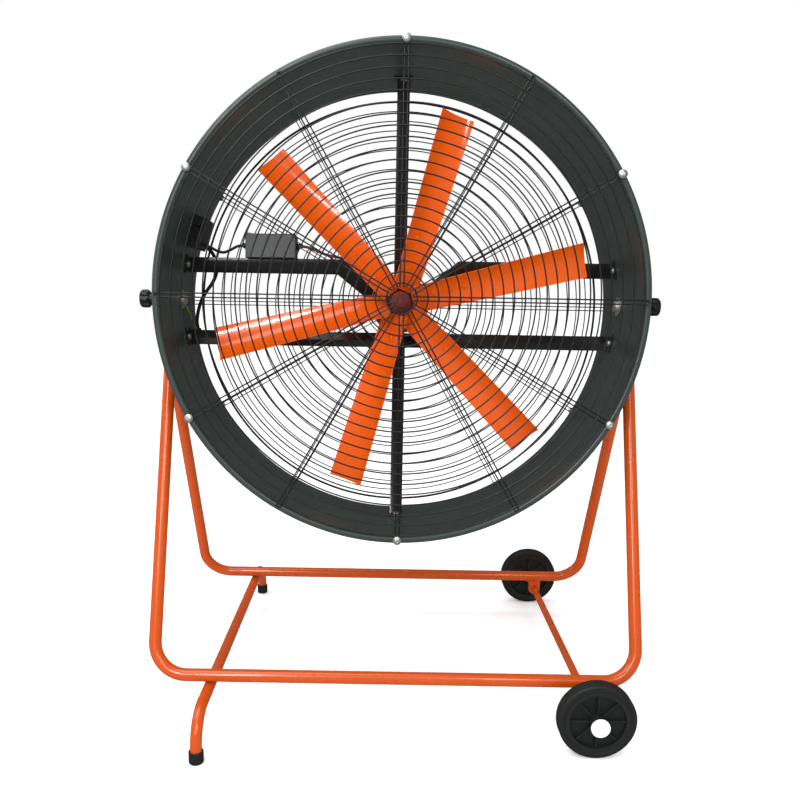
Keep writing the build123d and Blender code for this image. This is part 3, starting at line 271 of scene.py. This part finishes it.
def metal(name, colour, roughness, grain):
    # plated or pressed metal: one colour, a fine grain and slightly uneven gloss
    material, tree, shader, place = newMaterial(name, Metallic=1.0)
    shader.inputs["Base Color"].default_value = hexColour(colour)
    wearSurface(tree, shader, place, roughness, metalFinish)
    bumpSurface(tree, shader, place, grain, metalFinish, metalFinish["height"])
    return material


def moulded(name, colour, roughness, grain, height, ior):
    # moulded plastic or rubber: one colour, a fine spark-eroded grain
    material, tree, shader, place = newMaterial(name, IOR=ior)
    shader.inputs["Base Color"].default_value = hexColour(colour)
    bumpSurface(tree, shader, place, grain, mouldedFinish, height)
    wearSurface(tree, shader, place, roughness, mouldedFinish)
    return material


# gloss powder coat over bent steel tube: strong even orange with a soft orange peel
framePaint = paint("orangePowderCoat", "#C44C05", "#BA4604", 0.26, 1.6, 0.03, 0.4)
# sprayed gloss enamel on the blades' sheet steel: smoother and yellower than the stand, with sharp highlights
bladePaint = paint("orangeEnamel", "#F9620A", "#F05B08", 0.2, 3.0, 0.03, 1.0)
# semi-gloss powder coat on the rolled drum: dark grey with a green cast and broad soft highlights
drumPaint = paint("blackGreenPowderCoat", "#35403C", "#2F3A36", 0.34, 1.4, 0.05, 0.2)
# satin black paint on the folded struts: nearly black, a soft sheen on the slanted faces
strutPaint = paint("satinBlackPaint", "#141616", "#0F1111", 0.3, 1.5, 0.06, 0.6)
# black dipped coating on the guards' drawn wire: dull dark lines with a thin pale edge
wirePaint = paint("blackWireCoating", "#171919", "#121414", 0.34, 1.0, 0.04, 0.2)
# satin machine enamel on the motor: a cool blue-grey
motorPaint = paint("blueGreyMachineEnamel", "#3F4653", "#363D49", 0.26, 1.5, 0.05, 0.5)
# red oxide primer, brushed on the spider, its nut and the shaft: dark red and matt; the dark red also stands
# in as painted shade at the hub's centre and round it
hubPrimerAndPaintedShade = paint("redOxidePrimerAndPaintedShade", "#6E1410", "#5A0F0D", 0.45, 1.2, 0.05, 0.0)
# bright zinc plating on screws, washers, collars and bolts: nearly white, softly blurred reflections
zincPlate = metal("brightZincPlate", "#F6F6F3", 0.5, 0.8)
# pressed steel of the motor band, cores and bearing rings: plain grey metal
bandSteel = metal("pressedSteel", "#B9BDC0", 0.38, 0.8)
# vulcanised rubber of the tyres and foot caps: nearly black and dull
tyreRubber = moulded("vulcanisedRubber", "#191C1A", 0.6, 0.8, 0.12, 1.52)
# injection-moulded polypropylene wheel centres: black, a little glossier than the tyres
wheelPlastic = moulded("mouldedPolypropylene", "#1D201E", 0.45, 0.6, 0.05, 1.49)
# injection-moulded nylon knobs, glands, plugs and switch: black with a soft sheen
knobPlastic = moulded("mouldedNylon", "#151616", 0.4, 0.7, 0.06, 1.53)
# injection-moulded ABS of the junction box: mid grey, satin
boxPlastic = moulded("greyAbs", "#4C504F", 0.45, 0.6, 0.06, 1.52)
# injection-moulded nylon of the push caps and the capacitor's case: white, slightly glossy
whitePlastic = moulded("whiteNylon", "#F4F4F2", 0.35, 0.8, 0.03, 1.53)
# extruded flexible PVC on the leads: even colour, dull
blackPvc = moulded("blackPvcSheath", "#151515", 0.5, 0.8, 0.04, 1.53)
redPvc = moulded("redPvcSheath", "#5E1F33", 0.45, 0.8, 0.04, 1.53)
earthPvc = moulded("greenYellowPvc", "#7D8A1E", 0.45, 0.8, 0.04, 1.53)
print("materials made")

# place in mm, angles in degrees, lens and sensor in mm, clip distances in metres
view = {"place": (-32.4, -1756.7, 895.3), "pitch": -11.57, "roll": -0.96, "lens": 36.0, "sensor": 36.0,
        "shift": (0.0216, 0.0506), "clip": (0.05, 60)}


def makeCamera():
    # tipped about X by the pitch, after a roll about its own line of sight
    p, r = math.radians(view["pitch"]), math.radians(view["roll"])
    pitch = np.array([[1, 0, 0], [0, math.cos(p), -math.sin(p)], [0, math.sin(p), math.cos(p)]])
    roll = np.array([[math.cos(r), 0, math.sin(r)], [0, 1, 0], [-math.sin(r), 0, math.cos(r)]])
    right, ahead, up = (pitch @ roll).T
    data = bpy.data.cameras.new("studioCamera")
    data.sensor_width, data.lens = view["sensor"], view["lens"]
    data.shift_x, data.shift_y = view["shift"]
    data.clip_start, data.clip_end = view["clip"]
    camera = bpy.data.objects.new("studioCamera", data)
    place = np.eye(4)
    place[:3, 0], place[:3, 1], place[:3, 2] = right, up, -ahead
    place[:3, 3] = np.array(view["place"]) * mm
    camera.matrix_world = Matrix(place.tolist())
    bpy.context.scene.collection.objects.link(camera)
    bpy.context.scene.camera = camera


studio = {"floorReach": 30.0, "floorDrop": 0.0005,  # metres
          "floor": "#FFFFFF", "floorInGloss": "#585C5A", "floorGlow": 0.16, "floorRoughness": 0.9,
          "toEye": 1.0, "onMatt": 1.0, "inGloss": 0.1}  # the backdrop's strength for each kind of ray
# each soft box's place, the point it faces, its size, all in metres, and its watts
softBoxes = {
    "overheadLeft": ((-1.2, -0.6, 3.6), (0, 0, 0.8), (2.2, 3.0), 60.0),
    "stripRight": ((0.75, -3.2, 2.5), (0, 0, 0.85), (0.26, 1.1), 16.0),
    "sideLeft": ((-3.1, 0.6, 1.45), (0, 0, 0.8), (1.2, 0.8), 6.0),
    "stripLeft": ((-0.92, -3.2, 2.4), (0, 0, 0.85), (0.26, 1.8), 44.0),
}


def makeSoftBox(name, place, target, size, power):
    data = bpy.data.lights.new(name, "AREA")
    data.shape, data.size, data.size_y, data.energy = "RECTANGLE", size[0], size[1], power
    light = bpy.data.objects.new(name, data)
    light.location = place
    light.rotation_euler = (Vector(target) - Vector(place)).to_track_quat("-Z", "Y").to_euler()
    bpy.context.scene.collection.objects.link(light)


def makeBackdrop():
    # white to the eye, even light on matt surfaces, and a darker room in glossy reflections
    world = bpy.data.worlds.new("studioWorld")
    bpy.context.scene.world = world
    world.use_nodes = True
    tree = world.node_tree
    tree.nodes.clear()
    path = addNode(tree, "ShaderNodeLightPath")
    seen, given, mirrored = [
        addNode(tree, "ShaderNodeBackground", {"Color": (1, 1, 1, 1), "Strength": studio[key]}).outputs[0]
        for key in ("toEye", "onMatt", "inGloss")]
    direct = addNode(tree, "ShaderNodeMixShader", {
        "Fac": path.outputs["Is Camera Ray"], 1: given, 2: seen})
    mixed = addNode(tree, "ShaderNodeMixShader", {
        "Fac": path.outputs["Is Glossy Ray"], 1: direct.outputs[0], 2: mirrored})
    output = addNode(tree, "ShaderNodeOutputWorld")
    tree.links.new(mixed.outputs[0], output.inputs["Surface"])


def makeFloor():
    # pale and matt, with a slight glow to the eye so that it meets the backdrop unseen
    material, tree, shader, _ = newMaterial("paleFloor", Roughness=studio["floorRoughness"])
    path = addNode(tree, "ShaderNodeLightPath")
    glow = addNode(tree, "ShaderNodeMath", {0: path.outputs["Is Camera Ray"], 1: studio["floorGlow"]},
                   operation="MULTIPLY")
    shader.inputs["Emission Color"].default_value = (1, 1, 1, 1)
    tree.links.new(glow.outputs[0], shader.inputs["Emission Strength"])
    tone = addNode(tree, "ShaderNodeMix", {"Factor": path.outputs["Is Glossy Ray"]}, data_type="RGBA")
    tone.inputs[6].default_value = hexColour(studio["floor"])
    tone.inputs[7].default_value = hexColour(studio["floorInGloss"])  # a darker floor in reflections
    tree.links.new(tone.outputs[2], shader.inputs["Base Color"])
    reach, drop = studio["floorReach"], studio["floorDrop"]
    mesh = bpy.data.meshes.new("floor")
    mesh.from_pydata([(-reach, -reach, -drop), (reach, -reach, -drop), (reach, reach, -drop),
                      (-reach, reach, -drop)], [], [(0, 1, 2, 3)])
    mesh.materials.append(material)
    floor = bpy.data.objects.new("floor", mesh)
    bpy.context.scene.collection.objects.link(floor)


makeCamera()
bpy.context.scene.view_settings.view_transform = "Standard"
makeBackdrop()
makeFloor()
for name, settings in softBoxes.items():
    makeSoftBox(name, *settings)
print("camera and studio made")

stand = {
    "tube": 12.7, "bend": 66.0, "setback": 287.0, "barHeight": 110.5,
    "frontBarHalf": 482.0, "frontLegHalf": 490.0, "rearBarHalf": 498.0, "rearLegHalf": 517.0,
    "overrun": 20.0, "tubeSides": 32,
    "rail": 11.1, "railX": -371.0, "railFoot": 412.0, "railHeight": 86.7, "railBend": 62.0, "railEnd": 4.0,
    "axleX": 384.0, "axleHeight": 75.0,
}


def makeLegFrame(name, side, barHalf, legHalf):
    # a U drawn flat, bar at the bottom and legs leaning out, then leant back about the bar to the pivot
    rise = drumPlace["pivotHeight"] - stand["barHeight"]
    slope = math.hypot(stand["setback"], rise)
    top = slope + stand["overrun"]
    halfTop = barHalf + (legHalf - barHalf) / slope * top
    flat = bentPath([(-halfTop, top, 0), (-barHalf, 0, 0), (barHalf, 0, 0), (halfTop, top, 0)], stand["bend"])
    up = np.array([0, -side * stand["setback"], rise]) / slope
    bar = np.array([0, side * stand["setback"], stand["barHeight"]])
    path = bar + flat[:, :1] * [1, 0, 0] + flat[:, 1:2] * up
    tube = flatTube(path, np.cross([1, 0, 0], up), stand["tube"], stand["tubeSides"])
    makePiece(name + "_tube", [placed(tube, fromStand)], framePaint, "stand", [name])


def makeRail():
    # up from one foot, along Y and down to the other, with both corners bent
    x, foot, top, end = stand["railX"], stand["railFoot"], stand["railHeight"], stand["railEnd"]
    path = bentPath([(x, -foot, end), (x, -foot, top), (x, foot, top), (x, foot, end)], stand["railBend"])
    tube = flatTube(path, (1, 0, 0), stand["rail"], stand["tubeSides"])
    makePiece("foot_rail_tube", [placed(tube, fromStand)], framePaint, "stand", ["foot_rail"])


footCap = {"radius": 14.0, "height": 24.0, "edge": 3.2, "lip": 1.4, "boreGap": 0.3, "boreTop": 0.1,
           "boreDepth": 6.0, "segments": 48, "edgeSteps": 7, "lipSteps": 5}


def makeFootCap(name, side):
    # flat underside, rounded edge, straight side, rounded lip and a short bore, turned about the foot
    radius, height, edge, lip = [footCap[key] for key in ("radius", "height", "edge", "lip")]
    bore = stand["rail"] + footCap["boreGap"]
    profile = np.vstack([[(0, 0)], arc((radius - edge, edge), edge, -90, 0, footCap["edgeSteps"]),
                         arc((radius - lip, height - lip), lip, 0, 90, footCap["lipSteps"]),
                         [(bore, height - footCap["boreTop"]), (bore, height - footCap["boreDepth"])]])
    verts, faces = lathe(profile, footCap["segments"])  # turned about Y, then stood upright
    verts = np.stack([verts[:, 0] + stand["railX"], verts[:, 2] + side * stand["railFoot"], verts[:, 1]], -1)
    makePiece(name + "_rubber", [(fromStand(verts), faces)], tyreRubber, "stand", [name])


makeLegFrame("front_frame", -1, stand["frontBarHalf"], stand["frontLegHalf"])
makeLegFrame("rear_frame", 1, stand["rearBarHalf"], stand["rearLegHalf"])
makeRail()
makeFootCap("foot_cap_front", -1)
makeFootCap("foot_cap_rear", 1)
for node in ("axle_rod", "axle_brackets"):
    dressNode(node, framePaint, "stand", 0.6)
dressNode("axle_collars", zincPlate, "stand", 0.4)
dressNode("pivot_washers", zincPlate, "stand", 0.2)
dressNode("leg_plugs", knobPlastic, "stand", 0.3)
dressNode("wheel_caps", whitePlastic, "stand", 0.0)
print("stand made")

wheel = {"radius": 75.0, "width": 30.0, "rimRadius": 62.0, "rimGap": 0.05, "shoulder": 4.5,
         "shoulderSteps": 8, "segments": 96,
         "grooveMiddle": 5.0, "grooveDepth": 1.2, "grooveTop": 1.2, "grooveFloor": 0.6,  # half widths
         "bead": ((3.2, 0.0), (2.4, 0.9), (1.4, 0.9), (0.0, 1.4)),  # out from the rim, in from the side
         "y": {"front": -366.0, "rear": 386.0}}


def makeTyre(side):
    # closed section of bead, rounded shoulder, tread with two grooves, shoulder and bead, turned about Y
    radius, half, s = wheel["radius"], wheel["width"] / 2, wheel["shoulder"]
    inner = wheel["rimRadius"] + wheel["rimGap"]
    top, bottom, deep = wheel["grooveTop"], wheel["grooveFloor"], radius - wheel["grooveDepth"]
    groove = np.array([(radius, -top), (deep, -bottom), (deep, bottom), (radius, top)])
    beside = np.array([0, wheel["grooveMiddle"]])
    rear = np.array([(inner + out, half - under) for out, under in wheel["bead"]])
    front = rear[::-1] * [1, -1]
    steps = wheel["shoulderSteps"]
    profile = np.vstack([front, arc((radius - s, -half + s), s, -90, 0, steps), groove - beside,
                         groove + beside, arc((radius - s, half - s), s, 0, 90, steps), rear])
    verts, faces = lathe(profile, wheel["segments"], closed=True)
    verts = verts + np.array([stand["axleX"], wheel["y"][side], stand["axleHeight"]])
    makePiece(side + "_tyre_rubber", [(fromStand(verts), faces)], tyreRubber, side + "_wheel",
              [side + "_tyre"])


for side in ("front", "rear"):
    makeTyre(side)
for side in ("front", "rear"):
    dressNode(side + "_wheel_centre", wheelPlastic, side + "_wheel", 0.5)
print("wheels made")

drum = {"inner": 473.0, "wall": 1.5, "front": -177.0, "rear": 129.0, "frontRoll": 7.75, "rearRoll": 5.0,
        "offRoll": 8.0, "segments": 288,  # offRoll: where the outside's flat starts, past a roll's middle
        "steps": (9, 26, 7, 22)}  # points along the inside, front roll, outside and rear roll


def makeDrum():
    # section of the wall's two sides, joined at each end by the round of a rolled edge, turned about Y
    inner, outer, off = drum["inner"], drum["inner"] + drum["wall"], drum["offRoll"]
    a, b = drum["frontRoll"], drum["rearRoll"]
    innerSteps, frontSteps, outerSteps, rearSteps = drum["steps"]
    frontMid, rearMid = (inner + a, drum["front"] + a), (inner + b, drum["rear"] - b)
    frontStop = 360 + math.degrees(math.acos((outer - frontMid[0]) / a))
    rearStart = -math.degrees(math.acos((outer - rearMid[0]) / b))
    profile = np.vstack([
        straight(inner, rearMid[1], frontMid[1], innerSteps)[:-1],
        arc(frontMid, a, 180, frontStop, frontSteps),
        straight(outer, frontMid[1] + off, rearMid[1] - off, outerSteps),
        arc(rearMid, b, rearStart, 180, rearSteps)[:-1],
    ])
    shell = lathe(profile, drum["segments"], closed=True)
    makePiece("drum_shell_wall", [placed(shell, fromDrum)], drumPaint, "drum", ["drum_shell"])


makeDrum()
dressNode("pivot_pads", drumPaint, "drum", 0.3)
print("drum made")

guard = {"hairpins": 12, "gap": 8.0, "innerReach": 22.0, "seat": 0.02, "rim": 2.5,  # rim: wire's radius
         "sides": 10, "bendSteps": 15, "segments": 48, "moreSegments": 6, "rimSegments": 192, "rimSides": 12,
         "sharp": 60}
# way: which way is outwards along the drum's axis; wire: its radius; first and pitch: the rings' radii
guardEnds = {
    "front": {"way": -1, "wire": 1.5, "first": 30.0, "pitch": 21.0, "rings": 22},
    "rear": {"way": 1, "wire": 1.25, "first": 35.0, "pitch": 21.0, "rings": 20},
}
screw = {"offset": 0.5, "shank": 2.4, "shankLength": 3.0, "shankSides": 16, "head": 8.5, "height": 6.0,
         "recess": 3.4, "bar": 0.9, "depth": 2.2, "crown": 0.55, "crownPower": 2.6,
         "barSlope": 0.35, "endSlope": 0.5, "fineBeyond": 1.2, "coarseFrom": 2.0, "lastShare": 0.97,
         "headSteps": (16, 5, 64),  # rings over the recess, rings outside it, points round each ring
         "turn": 23.0, "sharp": 40}  # turn: degrees from one screw's cross to the next
for name, end in guardEnds.items():
    end["spokeY"] = drum[name] + end["way"] * (end["wire"] + guard["seat"])
    end["ringY"] = end["spokeY"] + end["way"] * (2 * end["wire"] + guard["seat"])
    end["screwY"] = end["spokeY"] + end["way"] * (end["wire"] + guard["seat"])
    end["rollMiddle"] = drum["inner"] + drum[name + "Roll"]
    end["screwRadius"] = end["rollMiddle"] + screw["offset"]


def wireRing(radius, y, wire, segments, sides):  # a circle of the wire's radius turned about Y
    t = np.radians(np.linspace(0, 360, sides, endpoint=False))
    return lathe(np.stack([radius + wire * np.cos(t), y + wire * np.sin(t)], -1), segments, closed=True)


def hairpin(angle, reach, y, wire):
    # two straight wires side by side, joined by a half circle at the outer end, turned to an angle
    half = guard["gap"] / 2
    start = math.sqrt(guard["innerReach"] ** 2 - half ** 2)
    flat = np.vstack([[(-half, start)], arc((0, reach), half, 180, 0, guard["bendSteps"]), [(half, start)]])
    path = turned(np.stack([flat[:, 0], np.full(len(flat), y), flat[:, 1]], -1), angle)
    return flatTube(path, (0, 1, 0), wire, guard["sides"])


def makeGuard(side):
    # rings a pitch apart; every other hairpin goes round a screw, and the ones between end on the edge
    end = guardEnds[side]
    rings = [wireRing(end["first"] + end["pitch"] * i, end["ringY"], end["wire"],
                      guard["segments"] + guard["moreSegments"] * i, guard["sides"])
             for i in range(end["rings"])]
    if side == "rear":
        rimY = end["spokeY"] + end["wire"] + guard["rim"] + guard["seat"]
        rings.append(wireRing(end["first"] + end["pitch"] * end["rings"], rimY, guard["rim"],
                              guard["rimSegments"], guard["rimSides"]))
    makePiece(side + "_guard_ring_wires", [placed(ring, fromDrum) for ring in rings], wirePaint, "drum",
              [side + "_guard_rings"], guard["sharp"])
    step = 360 / guard["hairpins"]
    reaches = (end["screwRadius"], end["rollMiddle"] - guard["gap"] / 2)
    pins = [hairpin(step * i, reaches[i % 2], end["spokeY"], end["wire"]) for i in range(guard["hairpins"])]
    makePiece(side + "_guard_hairpins", [placed(pin, fromDrum) for pin in pins], wirePaint, "drum",
              [side + "_guard_spokes"], guard["sharp"])


def panHead():
    # dome over a disc, height (1 - crown (r / radius)^power), lowered where |x| or |z| is under the
    # bar's half width: a cross recess
    radius, recess = screw["head"], screw["recess"]
    fineSteps, coarseSteps, around = screw["headSteps"]
    r = np.concatenate([np.linspace(0, recess + screw["fineBeyond"], fineSteps),
                        np.linspace(recess + screw["coarseFrom"], radius * screw["lastShare"], coarseSteps),
                        [radius]])
    t = np.linspace(0, 2 * math.pi, around, endpoint=False)
    rr, tt = np.meshgrid(r, t, indexing="ij")
    x, z = rr * np.cos(tt), rr * np.sin(tt)
    dome = screw["height"] * (1 - screw["crown"] * (rr / radius) ** screw["crownPower"])
    near = np.minimum(np.abs(x), np.abs(z))
    cut = np.clip((screw["bar"] - near) / screw["barSlope"] + 0.5, 0, 1)
    cut = cut * np.clip((recess - rr) / screw["endSlope"] + 0.5, 0, 1)
    top = np.stack([x, dome - cut * screw["depth"], z], -1)
    skirt = np.stack([radius * np.cos(t), 0 * t, radius * np.sin(t)], -1)[None]
    return grid(np.concatenate([top, skirt, np.zeros_like(skirt)]))


def makeGuardScrews():
    # head outwards and shank inwards, at the outer turn of every other hairpin of both guards
    count = guard["hairpins"] // 2
    shankProfile = [(0, 0), (screw["shank"], 0), (screw["shank"], screw["shankLength"]),
                    (0, screw["shankLength"])]
    parts = []
    for i in range(count):
        for end in guardEnds.values():
            way, y, radius = end["way"], end["screwY"], end["screwRadius"]
            verts, faces = panHead()
            spin = turned(verts, screw["turn"] * (i + 1) * way)
            head = np.stack([spin[:, 0], y + way * spin[:, 1], spin[:, 2] + radius], -1)
            shank, shankFaces = lathe(shankProfile, screw["shankSides"])
            shank = np.stack([shank[:, 0], y - way * shank[:, 1], shank[:, 2] + radius], -1)
            parts.append((fromDrum(turned(head, 360 / count * i)), faces))
            parts.append((fromDrum(turned(shank, 360 / count * i)), shankFaces))
    makePiece("guard_screw_set", parts, zincPlate, "drum", ["guard_screws"], screw["sharp"])


makeGuard("front")
makeGuard("rear")
makeGuardScrews()
print("guards made")

blade = {"count": 6, "firstAngle": 16.24, "plane": -32.0, "root": 26.0, "tip": 400.0, "chord": 75.0,
         "camber": 9.0, "sheet": 1.5, "rootPitch": 47.3, "tipPitch": 22.0, "stations": 30, "across": 15,
         "sharp": 30}
spider = {"armWidth": 30.0, "armSheet": 3.0, "armReach": 150.0, "armGap": 0.1, "armInBoss": 6.0,
          "armStations": 14, "boss": 22.0, "front": -60.0, "rear": -6.0, "edge": 4.0, "shaft": 8.45,
          "edgeSteps": 8, "segments": 96}
bladeAngles = [blade["firstAngle"] + 360 / blade["count"] * i for i in range(blade["count"])]


def bladeStrip(width, lift, sheet, start, end, stations):
    # a thin band on a circle arc, hollow to the front, turned by a pitch that falls evenly to the tip
    curve = (blade["chord"] ** 2 / 4 + blade["camber"] ** 2) / (2 * blade["camber"])
    half = math.asin(width / 2 / curve)
    t = np.linspace(-half, half, blade["across"])
    t = np.concatenate([t, t[::-1]])
    radius = np.where(np.arange(len(t)) < blade["across"], curve + lift, curve + lift + sheet)
    u, v = radius * np.sin(t), radius * np.cos(t) + blade["camber"] / 2 - curve
    z = np.linspace(start, end, stations)[:, None]
    share = (z - blade["root"]) / (blade["tip"] - blade["root"])
    pitch = np.radians(blade["rootPitch"] + (blade["tipPitch"] - blade["rootPitch"]) * share)
    x = u * np.cos(pitch) - v * np.sin(pitch)
    y = blade["plane"] + u * np.sin(pitch) + v * np.cos(pitch)
    return cappedGrid(np.stack([x, y, z + 0 * x], -1))


def makeBlades():
    for number, angle in enumerate(bladeAngles, 1):
        verts, faces = bladeStrip(blade["chord"], 0, blade["sheet"], blade["root"], blade["tip"],
                                  blade["stations"])
        makePiece("blade_%d_sheet" % number, [(fromDrum(turned(verts, angle)), faces)], bladePaint, "rotor",
                  ["blade_%d" % number], blade["sharp"])


def makeSpider():
    # six arms behind the blades, on the same arc, and a bored boss with a rounded front edge
    parts = []
    for angle in bladeAngles:
        verts, faces = bladeStrip(spider["armWidth"], blade["sheet"] + spider["armGap"], spider["armSheet"],
                                  spider["boss"] - spider["armInBoss"], spider["armReach"],
                                  spider["armStations"])
        parts.append((fromDrum(turned(verts, angle)), faces))
    boss, shaft, edge = spider["boss"], spider["shaft"], spider["edge"]
    front, rear = spider["front"], spider["rear"]
    rounded = arc((boss - edge, front + edge), edge, -90, 0, spider["edgeSteps"])
    profile = np.vstack([[(shaft, front)], rounded, [(boss, rear), (shaft, rear)]])
    parts.append(placed(lathe(profile, spider["segments"], closed=True), fromDrum))
    # the spider in the dark red primer, which also paints the shade round the hub
    makePiece("blade_spider_hub", parts, hubPrimerAndPaintedShade, "rotor", ["blade_spider"])


makeBlades()
makeSpider()
dressNode("blade_rivets", bladePaint, "rotor", 0.0)
# the nut and the shaft take the dark red primer, which here also paints the shade at the hub's centre
dressNode("hub_nut", hubPrimerAndPaintedShade, "rotor", 0.4)
dressNode("motor_shaft", hubPrimerAndPaintedShade, "rotor", 0.0)
dressNode("rotor_core", bandSteel, "rotor", 0.0)
print("rotor made")

for node in ("upper_strut_left", "upper_strut_right", "lower_strut", "top_strut", "bottom_strut"):
    dressNode(node, strutPaint, "drum", 0.6)
for node in ("motor_shell", "motor_front_bell", "motor_rear_bell"):
    dressNode(node, motorPaint, "drum", 0.5)
for node in ("motor_band", "stator_core", "motor_bearings"):
    dressNode(node, bandSteel, "drum", 0.3)
for node in ("strut_bolts", "pivot_bolts", "box_screws"):
    dressNode(node, zincPlate, "drum", 0.3)
print("motor and struts made")

for node in ("junction_box", "junction_cover"):
    dressNode(node, boxPlastic, "drum", 0.5)
dressNode("run_capacitor", whitePlastic, "drum", 0.5)
dressNode("switch_housing", knobPlastic, "drum", 0.5)
dressNode("switch_rocker", knobPlastic, "rocker", 0.4)
dressNode("cable_glands", knobPlastic, "drum", 0.4)
for node in ("supply_cable", "switch_cable"):
    dressNode(node, blackPvc, "drum", 0.0)
dressNode("motor_cable", redPvc, "drum", 0.0)
dressNode("earth_lead", earthPvc, "drum", 0.0)
print("electrics made")

for side in ("left", "right"):
    dressNode("clamp_knob_" + side, knobPlastic, "knob_" + side, 0.8)
print("knobs made")
